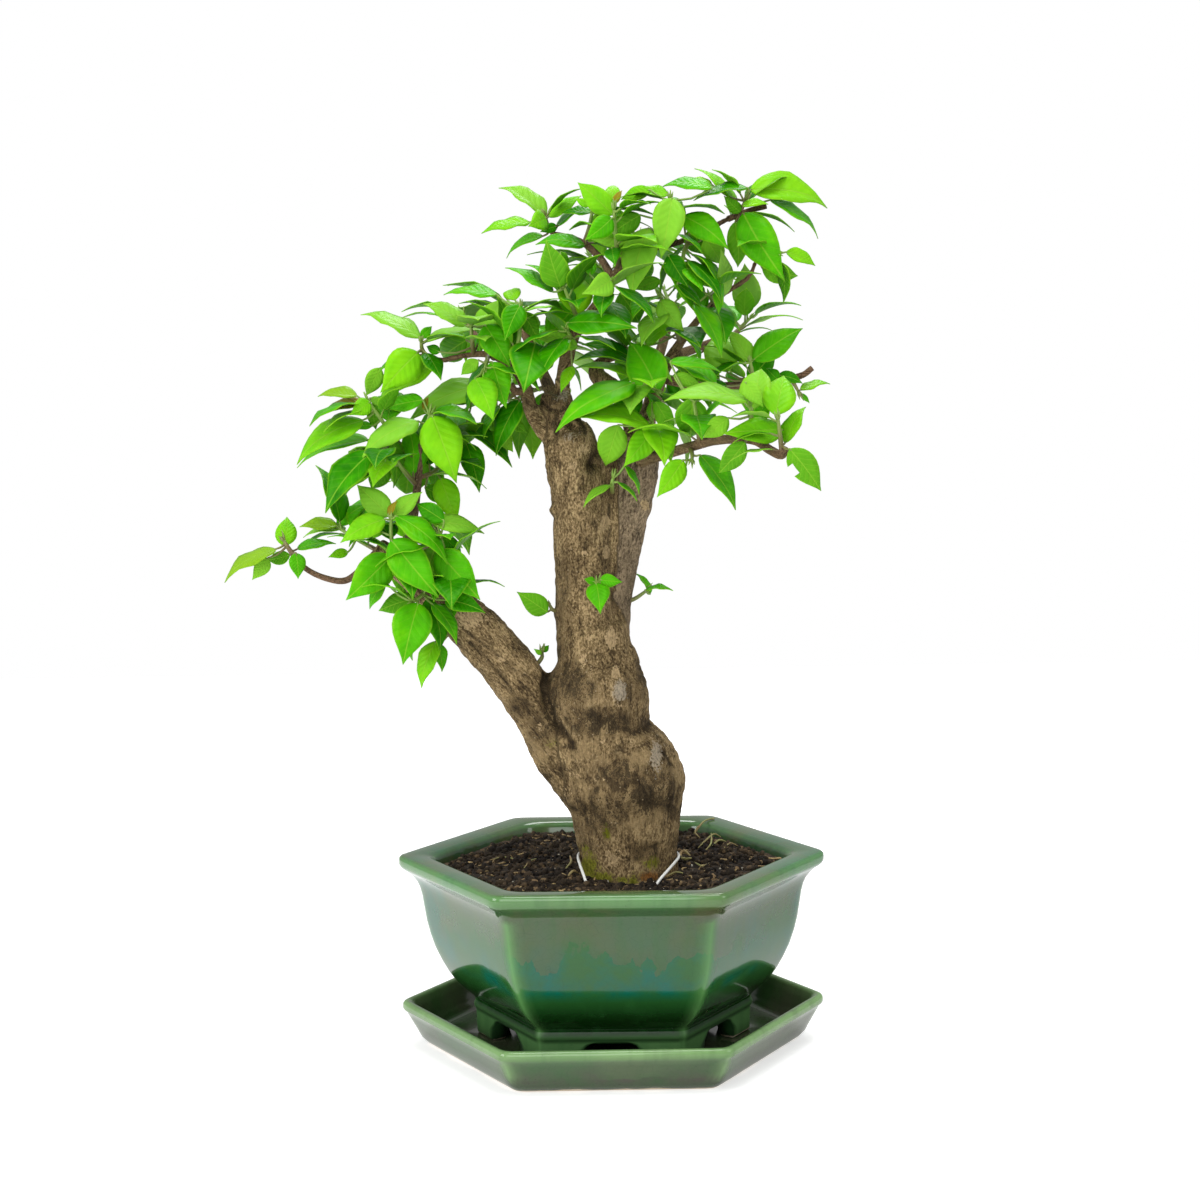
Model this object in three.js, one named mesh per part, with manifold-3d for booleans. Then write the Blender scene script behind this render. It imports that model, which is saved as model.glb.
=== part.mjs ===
// Bougainvillea bonsai in a hexagonal glazed pot that stands in its saucer.
// Millimetres, +Z up. The origin is the centre of the saucer's flat underside, and the front is -Y.
import * as THREE from "three";
import { mergeVertices } from "three/addons/utils/BufferGeometryUtils.js";
import Module from "manifold-3d";

const wasm = await Module();
wasm.setup();

// Driving dimensions. Radii of the hexagonal pieces are measured to their corners.
const POT_RADIUS = 125;
const POT_RIM_TOP = 112.1;
const POT_FOOT_BOTTOM = 6.4;
const POT_TURN = THREE.MathUtils.degToRad(-1.4);
const SAUCER_RADIUS = 124.4;
const SAUCER_HEIGHT = 26.5;
const SAUCER_FLOOR = 6;
const SOIL_LEVEL = 103;
const DRAIN_RADIUS = 9;
const WIRE_RADIUS = 1;
const FIT_GAP = 0.35;
const BLADE_THICKNESS = 0.7;
const CLEAR_MARGIN = 1.1;
const STEM_RADIUS = 1.6;
const PETIOLE_RADIUS = 0.75;

// The front view was read off a square sheet 1200 units wide, seen from one eye in front of the pot.
const SHEET_MIDDLE = 600;
const EYE_FOCUS = 2315;
const EYE_DISTANCE = 1322;
const EYE_HEIGHT = 399.5;
const EYE_SIDE = -4.1;
const EYE_PITCH = THREE.MathUtils.degToRad(6.04);
const EYE_ROLL = THREE.MathUtils.degToRad(-0.85);
const EYE_TURN = THREE.MathUtils.degToRad(-0.35);

const UP = new THREE.Vector3(0, 0, 1);
const EYE = new THREE.Vector3(EYE_SIDE, -EYE_DISTANCE, EYE_HEIGHT).applyAxisAngle(UP, EYE_TURN);

const glazeGreen = new THREE.MeshStandardMaterial({ color: 0x2f5f3f, roughness: 0.18, metalness: 0 });
const soilBrown = new THREE.MeshStandardMaterial({ color: 0x2b211b, roughness: 0.95, metalness: 0 });
const barkBrown = new THREE.MeshStandardMaterial({ color: 0x7d6850, roughness: 0.85, metalness: 0 });
const leafGreen = new THREE.MeshStandardMaterial({ color: 0x4fa01c, roughness: 0.42, metalness: 0 });
const wireWhite = new THREE.MeshStandardMaterial({ color: 0xe4e6e4, roughness: 0.4, metalness: 0 });
const meshBlack = new THREE.MeshStandardMaterial({ color: 0x26282a, roughness: 0.6, metalness: 0 });

// The point at a depth behind the pot's centre plane that the eye sees at sheet place (u, v).
function plot(u, v, depth) {
  const right = u - SHEET_MIDDLE;
  const down = v - SHEET_MIDDLE;
  const across = Math.cos(EYE_ROLL) * right + Math.sin(EYE_ROLL) * down;
  const below = -Math.sin(EYE_ROLL) * right + Math.cos(EYE_ROLL) * down;
  const rise = -below / EYE_FOCUS;
  const ray = new THREE.Vector3(
    across / EYE_FOCUS,
    Math.cos(EYE_PITCH) + rise * Math.sin(EYE_PITCH),
    -Math.sin(EYE_PITCH) + rise * Math.cos(EYE_PITCH),
  ).applyAxisAngle(UP, EYE_TURN);
  return EYE.clone().addScaledVector(ray, (depth - EYE.y) / ray.y);
}

// A closed geometry as a solid for cuts and joins.
function solidOf(geometry) {
  const bare = geometry.clone();
  bare.deleteAttribute("normal");
  bare.deleteAttribute("uv");
  const merged = mergeVertices(bare, 1e-4);
  return new wasm.Manifold(
    new wasm.Mesh({
      numProp: 3,
      vertProperties: merged.attributes.position.array,
      triVerts: new Uint32Array(merged.index.array),
    }),
  );
}

// A closed geometry from a list of points and a list of corner triples.
function shellOf(points, faces) {
  const geometry = new THREE.BufferGeometry();
  const places = points.flatMap((point) => [point.x, point.y, point.z]);
  geometry.setAttribute("position", new THREE.Float32BufferAttribute(places, 3));
  geometry.setIndex(faces.flat());
  return geometry;
}

function meshOf(name, solid, material) {
  const made = solid.getMesh();
  const geometry = new THREE.BufferGeometry();
  geometry.setAttribute("position", new THREE.Float32BufferAttribute(made.vertProperties, 3));
  geometry.setIndex(new THREE.BufferAttribute(made.triVerts, 1));
  geometry.computeVertexNormals();
  const mesh = new THREE.Mesh(geometry, material);
  mesh.name = name;
  return mesh;
}

function joined(solids) {
  return solids.reduce((whole, next) => whole.add(next));
}

// A scrap that a cut leaves beside the main body is dropped.
function largestBody(solid) {
  return solid.decompose().reduce((best, body) => (body.volume() > best.volume() ? body : best));
}

// A hexagonal turning: profile pairs are corner radius and height, from the underside outwards and up.
function hexagonal(profile, turn) {
  const outline = profile.map(([radius, height]) => new THREE.Vector2(radius, height));
  const geometry = new THREE.LatheGeometry(outline, 6, Math.PI / 6);
  geometry.rotateX(Math.PI / 2);
  geometry.rotateZ(Math.PI / 6 + turn + Math.PI / 6);
  return solidOf(geometry);
}

// Saucer: a shallow tray with a rolled rim, standing on a wide flat underside.
const SAUCER_PROFILE = [
  [0, 0],
  [105.5, 0],
  [109.5, 1.2],
  [113.5, 4.8],
  [SAUCER_RADIUS - 2, SAUCER_HEIGHT - 6.6],
  [SAUCER_RADIUS, SAUCER_HEIGHT - 4.8],
  [SAUCER_RADIUS, SAUCER_HEIGHT - 1.2],
  [SAUCER_RADIUS - 1.4, SAUCER_HEIGHT],
  [SAUCER_RADIUS - 4.4, SAUCER_HEIGHT],
  [SAUCER_RADIUS - 5.6, SAUCER_HEIGHT - 1.4],
  [SAUCER_RADIUS - 8, SAUCER_HEIGHT - 11],
  [112, SAUCER_FLOOR + 1.4],
  [107.5, SAUCER_FLOOR],
  [0, SAUCER_FLOOR],
];
const saucer = hexagonal(SAUCER_PROFILE, 0);

// Pot: wide lip, cove below it, bellied wall, and a foot ring under a recessed floor.
const POT_OUTSIDE = [
  [0, POT_FOOT_BOTTOM + 9],
  [68, POT_FOOT_BOTTOM + 9],
  [71, POT_FOOT_BOTTOM],
  [80.5, POT_FOOT_BOTTOM],
  [81.2, POT_RIM_TOP - 91.5],
  [83.2, POT_RIM_TOP - 89.5],
  [82.6, POT_RIM_TOP - 86.5],
  [80.8, POT_RIM_TOP - 85.4],
  [92.3, POT_RIM_TOP - 75],
  [101, POT_RIM_TOP - 62],
  [107.5, POT_RIM_TOP - 46],
  [110.6, POT_RIM_TOP - 30],
  [113, POT_RIM_TOP - 19],
  [116, POT_RIM_TOP - 14],
  [POT_RADIUS - 2, POT_RIM_TOP - 9.5],
  [POT_RADIUS, POT_RIM_TOP - 7.8],
  [POT_RADIUS, POT_RIM_TOP - 1.6],
  [POT_RADIUS - 1.8, POT_RIM_TOP],
];
const POT_INSIDE = [
  [107, POT_RIM_TOP],
  [105, POT_RIM_TOP - 2.5],
  [104, POT_RIM_TOP - 18],
  [101, POT_RIM_TOP - 40],
  [95, POT_RIM_TOP - 57],
  [84, POT_RIM_TOP - 70],
  [70, POT_RIM_TOP - 80],
  [40, POT_RIM_TOP - 87],
  [0, POT_RIM_TOP - 87],
];
const POT_FLOOR_TOP = POT_RIM_TOP - 87;
const ARCH_FOOT_HALF = 19;
const ARCH_TOP_HALF = 11;
const ARCH_RISE = 13;
const ARCH_DEPTH = 24;
const ARCH_FACE = 51;

// An arched opening through one side of the foot ring leaves a foot at each corner.
function footArch(turn) {
  const arch = new THREE.Shape();
  arch.moveTo(-ARCH_FOOT_HALF, -2);
  arch.lineTo(ARCH_FOOT_HALF, -2);
  arch.lineTo(ARCH_FOOT_HALF - 1, ARCH_RISE / 3);
  arch.quadraticCurveTo(ARCH_TOP_HALF + 3, ARCH_RISE - 1, ARCH_TOP_HALF, ARCH_RISE);
  arch.lineTo(-ARCH_TOP_HALF, ARCH_RISE);
  arch.quadraticCurveTo(-ARCH_TOP_HALF - 3, ARCH_RISE - 1, -ARCH_FOOT_HALF + 1, ARCH_RISE / 3);
  const length = { depth: ARCH_DEPTH, bevelEnabled: false, curveSegments: 2 };
  const cutter = new THREE.ExtrudeGeometry(arch, length);
  cutter.rotateX(Math.PI / 2);
  cutter.translate(0, -ARCH_FACE, POT_FOOT_BOTTOM);
  cutter.rotateZ(turn);
  return solidOf(cutter);
}

function drainHole(radius) {
  const hole = new THREE.CylinderGeometry(radius, radius, 40, 16);
  hole.rotateX(Math.PI / 2);
  hole.translate(0, 0, POT_FLOOR_TOP - 10);
  return solidOf(hole);
}

const HEX_SIDES = [0, 1, 2, 3, 4, 5].map((side) => (side * Math.PI) / 3);
const pot = HEX_SIDES.reduce(
  (body, side) => body.subtract(footArch(POT_TURN + side)),
  hexagonal([...POT_OUTSIDE, ...POT_INSIDE], POT_TURN),
).subtract(drainHole(DRAIN_RADIUS));

// Drainage mesh: a square of plastic netting that lies over the drain hole, under the soil.
const MESH_HALF = 17;
const MESH_THICK = 1.4;
const MESH_CELLS = 3;
const MESH_BAR = 1.6;
const MESH_FLOAT = 0.3;

function drainageMesh() {
  const pitch = (2 * MESH_HALF - MESH_BAR) / MESH_CELLS;
  const middle = (MESH_CELLS - 1) / 2;
  let net = solidOf(new THREE.BoxGeometry(2 * MESH_HALF, 2 * MESH_HALF, MESH_THICK));
  for (let column = 0; column < MESH_CELLS; column++) {
    for (let row = 0; row < MESH_CELLS; row++) {
      const cell = new THREE.BoxGeometry(pitch - MESH_BAR, pitch - MESH_BAR, 2 * MESH_THICK);
      cell.translate((column - middle) * pitch, (row - middle) * pitch, 0);
      net = net.subtract(solidOf(cell));
    }
  }
  return net.translate([0, 0, POT_FLOOR_TOP + MESH_FLOAT + MESH_THICK / 2]);
}

// Wood: every limb is a row of stations, each a sheet place, a depth and a radius.
const TRUNK = [
  [631, 945, -18, 24],
  [631, 915, -18, 28.5],
  [630, 885, -18, 27.8],
  [628, 845, -18, 28.2],
  [626, 820, -18, 30.4],
  [625, 800, -17, 33],
  [623, 785, -17, 35.5],
  [619, 771, -17, 34.4],
  [611, 757, -17, 31.8],
  [602, 742, -18, 29.4],
  [599, 727, -18, 28.6],
  [597, 712, -18, 28.6],
  [597, 695, -18, 29.6],
  [597, 678, -18, 27.6],
  [597, 662, -18, 22.8],
  [594, 645, -18, 20.5],
  [592, 625, -18, 19],
];
const MAIN_STEM = [
  [590, 655, -18, 17.5],
  [585, 620, -19, 16.2],
  [583, 580, -20, 15.6],
  [581, 525, -20, 15.6],
  [577, 480, -20, 15.6],
  [572, 455, -20, 15.2],
  [569, 436, -20, 14.6],
];
const MAIN_STUB = [
  [570, 450, -18, 12],
  [562, 425, -17, 11],
  [557, 408, -16, 10],
  [557, 394, -16, 8.6],
];
const FRONT_SCAR = [
  [578, 450, -20, 12],
  [574, 430, -29, 9.5],
];
const RIGHT_STEM = [
  [606, 668, -14, 12],
  [610, 630, -12, 11.2],
  [614, 590, -10, 10.8],
  [620, 550, -9, 11.4],
  [627, 515, -9, 12],
  [633, 485, -9, 12.4],
  [637, 458, -9, 12.2],
  [640, 438, -8, 10.5],
];
const BOUGH = [
  [612, 832, -16, 17],
  [588, 790, -17, 15.5],
  [562, 752, -18, 16.4],
  [541, 714, -19, 15.2],
  [513, 673, -21, 15],
  [483, 638, -23, 14.6],
  [457, 613, -25, 13.2],
  [430, 590, -26, 10.2],
  [404, 568, -27, 8.4],
  [375, 550, -28, 7.4],
];
const BRANCHES = {
  leftTopBranch: [
    [556, 440, -20, 7],
    [541, 427, -21, 5.2],
    [530, 408, -22, 4.4],
    [526, 388, -22, 3.7],
    [517, 373, -22, 2.9],
    [505, 362, -21, 2.5],
    [485, 354, -18, 2.3],
    [463, 356, -14, 2.1],
    [440, 360, -10, 1.9],
    [422, 353, -8, 1.8],
  ],
  sideStub: [
    [525, 391, -22, 2.6],
    [515, 391, -24, 2.2],
    [511, 384, -25, 1.8],
  ],
  leader: [
    [560, 404, -16, 5.6],
    [563, 380, -16, 4.3],
    [568, 352, -16, 4.2],
    [577, 330, -17, 3.5],
    [600, 300, -18, 3],
    [616, 272, -18, 2.7],
    [640, 252, -15, 2.5],
    [680, 242, -10, 2.1],
    [705, 231, -8, 2],
    [728, 219, -7, 1.9],
    [740, 214, -6, 1.8],
  ],
  leaderFork: [
    [728, 219, -7, 1.9],
    [748, 211, -3, 1.6],
    [766, 206, -2, 1.6],
  ],
  topLeftTwig: [
    [612, 277, -18, 2.3],
    [600, 258, -10, 2],
    [583, 243, -4, 1.8],
    [567, 237, 1, 1.7],
    [552, 234, 4, 1.6],
  ],
  boughRiser: [
    [402, 572, -27, 4.4],
    [407, 548, -25, 3],
    [412, 525, -23, 2.6],
    [418, 480, -20, 2.2],
    [420, 444, -18, 1.8],
  ],
  nearBranch: [
    [636, 462, -14, 4],
    [648, 459, -26, 3.3],
    [690, 447, -55, 2.8],
    [718, 440, -74, 2.6],
    [752, 440, -94, 2.4],
    [770, 450, -104, 2.3],
    [781, 455, -109, 2.3],
    [786, 448, -111, 1.9],
  ],
  stemTopTwig: [
    [644, 458, -14, 3.6],
    [652, 447, -22, 2.8],
    [655, 434, -27, 2.3],
  ],
  innerBranch: [
    [639, 446, -8, 8],
    [632, 418, -4, 6.4],
    [617, 392, 0, 5.4],
    [596, 374, 6, 4.8],
    [604, 360, 10, 3.4],
    [630, 352, 12, 2.4],
  ],
  rightRiser: [
    [640, 442, -6, 6.5],
    [651, 408, 6, 4.6],
    [663, 372, 12, 3.8],
    [680, 343, 14, 3],
    [697, 321, 8, 2.5],
    [712, 304, 2, 2.2],
    [726, 292, -1, 2],
    [741, 283, -3, 1.8],
    [750, 275, -4, 1.7],
    [756, 260, -4, 1.6],
  ],
  rightSpan: [
    [661, 378, 11, 3.2],
    [700, 386, 14, 2.6],
    [745, 385, 12, 2.3],
    [768, 383, 10, 2.1],
    [800, 376, 8, 1.9],
    [812, 368, 6, 1.7],
  ],
  boughTipTwig: [
    [378, 553, -28, 3],
    [356, 574, -30, 2],
    [342, 581, -31, 1.8],
    [322, 577, -32, 1.6],
    [305, 568, -32, 1.5],
    [292, 554, -32, 1.4],
  ],
  backLeft: [
    [566, 425, -12, 6],
    [550, 390, 18, 3.8],
    [535, 355, 45, 3],
    [518, 322, 70, 2],
  ],
  backRight: [
    [640, 444, -4, 6],
    [650, 402, 32, 3.8],
    [660, 352, 62, 3],
    [674, 312, 88, 2],
  ],
  backTop: [
    [598, 303, -18, 2.8],
    [612, 282, 20, 2.4],
    [626, 262, 56, 1.8],
  ],
  boughBack: [
    [430, 594, -24, 5],
    [432, 552, 4, 3],
    [438, 510, 34, 2],
  ],
  backFarRight: [
    [672, 357, 14, 3],
    [702, 346, 48, 2.5],
    [732, 336, 82, 1.9],
  ],
  backUpperLeft: [
    [494, 357, -18, 2.2],
    [482, 342, 16, 2],
    [472, 332, 48, 1.7],
  ],
};
const THICK_SIDES = 10;
const BOUGH_SIDES = 8;
const BRANCH_SIDES = 5;
const WOOD_GAP = 0.3;

// Rings of corners round a line of centres, carried along it without twist.
function ringsAlong(centres, radii, sides, relief) {
  const rings = [];
  let across = new THREE.Vector3(1, 0, 0);
  centres.forEach((centre, index) => {
    const before = centres[Math.max(index - 1, 0)];
    const after = centres[Math.min(index + 1, centres.length - 1)];
    const along = after.clone().sub(before).normalize();
    across = across.clone().addScaledVector(along, -across.dot(along)).normalize();
    const third = along.clone().cross(across);
    const ring = [];
    for (let side = 0; side < sides; side++) {
      const angle = (2 * Math.PI * side) / sides;
      const radius = radii[index] * (1 + relief * barkWave(angle, index));
      ring.push(
        centre
          .clone()
          .addScaledVector(across, radius * Math.cos(angle))
          .addScaledVector(third, radius * Math.sin(angle)),
      );
    }
    rings.push(ring);
  });
  return rings;
}

// Long swellings that wander round a thick limb.
function barkWave(angle, index) {
  return 0.6 * Math.sin(2 * angle + 0.8 * index) + 0.4 * Math.sin(5 * angle - 1.3 * index);
}

// A closed tube through rings of equal size, with flat ends.
function tubeThrough(rings) {
  const sides = rings[0].length;
  const points = rings.flat();
  const faces = [];
  for (let ring = 0; ring + 1 < rings.length; ring++) {
    for (let side = 0; side < sides; side++) {
      const here = ring * sides + side;
      const beside = ring * sides + ((side + 1) % sides);
      faces.push([here, beside, beside + sides], [here, beside + sides, here + sides]);
    }
  }
  const last = (rings.length - 1) * sides;
  for (let side = 1; side + 1 < sides; side++) {
    faces.push([0, side + 1, side], [last, last + side, last + side + 1]);
  }
  return solidOf(shellOf(points, faces));
}

function limb(stations, sides, relief, grown) {
  const centres = stations.map(([u, v, depth]) => plot(u, v, depth));
  const flatToRound = 2 / (1 + Math.cos(Math.PI / sides));
  const radii = stations.map((station) => station[3] * flatToRound + grown);
  const rings = ringsAlong(centres, radii, sides, relief);
  if (grown > 0) {
    const start = centres[0].clone().sub(centres[1]).setLength(grown);
    const end = centres.at(-1).clone().sub(centres.at(-2)).setLength(grown);
    rings[0].forEach((point) => point.add(start));
    rings.at(-1).forEach((point) => point.add(end));
  }
  return tubeThrough(rings);
}

// The whole wood, or the same wood grown outwards to cut a gap round it.
function wholeWood(grown) {
  return joined([
    limb(TRUNK, THICK_SIDES, 0.035, grown),
    limb(MAIN_STEM, THICK_SIDES, 0.03, grown),
    limb(MAIN_STUB, BOUGH_SIDES, 0.05, grown),
    limb(FRONT_SCAR, BOUGH_SIDES, 0.05, grown),
    limb(RIGHT_STEM, BOUGH_SIDES, 0.03, grown),
    limb(BOUGH, BOUGH_SIDES, 0.03, grown),
    ...Object.values(BRANCHES).map((stations) => limb(stations, BRANCH_SIDES, 0, grown)),
  ]);
}
const wood = wholeWood(0);
const woodWithGap = wholeWood(WOOD_GAP);

// Anchor wire: a white coated wire laid round the foot of the trunk, both ends pushed into the soil.
const WIRE_SIDES = 5;
const WIRE_STATIONS = [
  [594, 893, -53],
  [589, 886, -51],
  [583, 874, -42],
  [576, 863, -30],
  [573, 852, -12],
  [590, 846, 11],
  [630, 843, 20],
  [668, 845, 11],
  [685, 851, -12],
  [682, 861, -30],
  [672, 871, -42],
  [661, 881, -50],
  [652, 890, -53],
];

function anchorWire(radius) {
  const centres = WIRE_STATIONS.map(([u, v, depth]) => plot(u, v, depth));
  const route = new THREE.CatmullRomCurve3(centres);
  const steps = 18;
  const places = [];
  for (let step = 0; step <= steps; step++) {
    places.push(route.getPoint(step / steps));
  }
  return tubeThrough(ringsAlong(places, places.map(() => radius), WIRE_SIDES, 0));
}

// Soil: fills the pot to just under its lip, with a crumbly top and a plain hole for the trunk.
const SOIL_STEPS = 18;
const SOIL_BANDS = [0.35, 0.66, 0.97];
const SOIL_LOWER = [
  [103.4, SOIL_LEVEL - 1],
  [103, POT_RIM_TOP - 18.5],
  [100.2, POT_RIM_TOP - 40.5],
  [83, POT_RIM_TOP - 70],
  [69, POT_RIM_TOP - 79.4],
  [39.6, POT_RIM_TOP - 84.6],
];

function hexRadius(corner, angle) {
  const side = Math.PI / 3;
  const within = ((angle % side) + side) % side;
  return (corner * Math.cos(side / 2)) / Math.cos(within - side / 2);
}

function soilBump(x, y) {
  return 1.1 * Math.sin(x / 7.3 + 1.1) * Math.sin(y / 6.1) + 0.7 * Math.sin(x / 3.1 - y / 4.3);
}

function soilBody() {
  const rings = [...SOIL_LOWER].reverse().map(([corner, height]) =>
    Array.from({ length: SOIL_STEPS }, (unused, step) => {
      const angle = (2 * Math.PI * step) / SOIL_STEPS;
      const radius = hexRadius(corner - FIT_GAP, angle);
      return new THREE.Vector3(radius * Math.cos(angle), radius * Math.sin(angle), height);
    }),
  );
  [...SOIL_BANDS].reverse().forEach((share) => {
    const ring = Array.from({ length: SOIL_STEPS }, (unused, step) => {
      const angle = (2 * Math.PI * step) / SOIL_STEPS;
      const radius = share * hexRadius(101.5, angle);
      const x = radius * Math.cos(angle);
      const y = radius * Math.sin(angle);
      return new THREE.Vector3(x, y, SOIL_LEVEL + 2 * (1 - share) + soilBump(x, y));
    });
    rings.push(ring);
  });
  const body = tubeThrough(rings);
  return body.rotate([0, 0, THREE.MathUtils.radToDeg(POT_TURN)]);
}

// Leaf blades: shares of the length where the outline turns, and the half width there.
const LARGE_OUTLINE = [
  [0.13, 0.6],
  [0.4, 1],
  [0.76, 0.44],
];
const SMALL_OUTLINE = [
  [0.3, 0.96],
  [0.66, 0.62],
];
const SMALL_LEAF = 46;
const NARROW_SHARE = 0.3;
const BLADE_ARCH = 0.07;
const BLADE_FOLD = 0.22;
const FULL_WIDTH = 0.6;
const SLIM_WIDTH = 0.48;

// The skeleton of a blade: rib and edge points on its upper face, from the petiole to the tip.
function bladeFrame(base, tip, normal, width) {
  const length = base.distanceTo(tip);
  const along = tip.clone().sub(base).normalize();
  const face = normal.clone().addScaledVector(along, -normal.dot(along)).normalize();
  const side = along.clone().cross(face);
  const small = length < SMALL_LEAF || width < NARROW_SHARE * length;
  const rows = (small ? SMALL_OUTLINE : LARGE_OUTLINE).map(([share, half]) => {
    const reach = (half * width) / 2;
    const arch = 4 * share * (1 - share) * BLADE_ARCH * length;
    const rib = base.clone().lerp(tip, share).addScaledVector(face, arch);
    const edge = rib.clone().addScaledVector(face, BLADE_FOLD * reach);
    return {
      rib,
      left: edge.clone().addScaledVector(side, reach),
      right: edge.clone().addScaledVector(side, -reach),
    };
  });
  return { base, tip, face, side, rows };
}

// One closed leaf: a three-sided petiole that widens into a folded, arched blade.
function leafShell(root, frame, thickness, drop) {
  const { base, tip, face, side, rows } = frame;
  const lower = face.clone().multiplyScalar(-drop - thickness);
  const upper = face.clone().multiplyScalar(-drop);
  const points = [];
  const leaving = base.clone().sub(root).normalize();
  const turning = leaving.clone().add(tip.clone().sub(base).normalize()).normalize();
  [[root, leaving, ROOT_SHARE], [base, turning, 1]].forEach(([end, way, share]) => {
    const half = share * PETIOLE_RADIUS;
    const flat = side.clone().addScaledVector(way, -side.dot(way));
    const across = flat.length() > 0.2 ? flat.normalize() : face.clone().cross(way).normalize();
    const top = way.clone().cross(across).negate();
    points.push(end.clone().addScaledVector(top, 0.5 * half).addScaledVector(across, half));
    points.push(end.clone().addScaledVector(top, 0.5 * half).addScaledVector(across, -half));
    points.push(end.clone().addScaledVector(top, -1.3 * half));
  });
  rows.forEach(({ rib, left, right }) => {
    [upper, lower].forEach((shift) => {
      points.push(left.clone().add(shift), rib.clone().add(shift), right.clone().add(shift));
    });
  });
  const tipIndex = points.length;
  points.push(tip.clone().addScaledVector(face, -drop - thickness / 2));
  const faces = [
    [0, 1, 2],
    [0, 3, 4],
    [0, 4, 1],
    [1, 4, 5],
    [1, 5, 2],
    [2, 5, 3],
    [2, 3, 0],
  ];
  const first = 6;
  faces.push([3, first + 1, 4], [3, first, first + 1], [4, first + 1, first + 2]);
  faces.push([5, first + 4, first + 3], [5, first + 5, first + 4]);
  faces.push([3, 5, first + 3], [3, first + 3, first], [4, first + 2, first + 5], [4, first + 5, 5]);
  for (let row = 0; row + 1 < rows.length; row++) {
    const a = first + 6 * row;
    const b = a + 6;
    faces.push([a, b, b + 1], [a, b + 1, a + 1], [a + 1, b + 1, b + 2], [a + 1, b + 2, a + 2]);
    faces.push([a + 3, b + 4, b + 3], [a + 3, a + 4, b + 4]);
    faces.push([a + 4, b + 5, b + 4], [a + 4, a + 5, b + 5]);
    faces.push([a, a + 3, b + 3], [a, b + 3, b], [a + 2, b + 5, a + 5], [a + 2, b + 2, b + 5]);
  }
  const end = first + 6 * (rows.length - 1);
  faces.push([end, tipIndex, end + 1], [end + 1, tipIndex, end + 2]);
  faces.push([end + 3, end + 4, tipIndex], [end + 4, end + 5, tipIndex]);
  faces.push([end, end + 3, tipIndex], [end + 2, tipIndex, end + 5]);
  return { points, faces };
}

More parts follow.
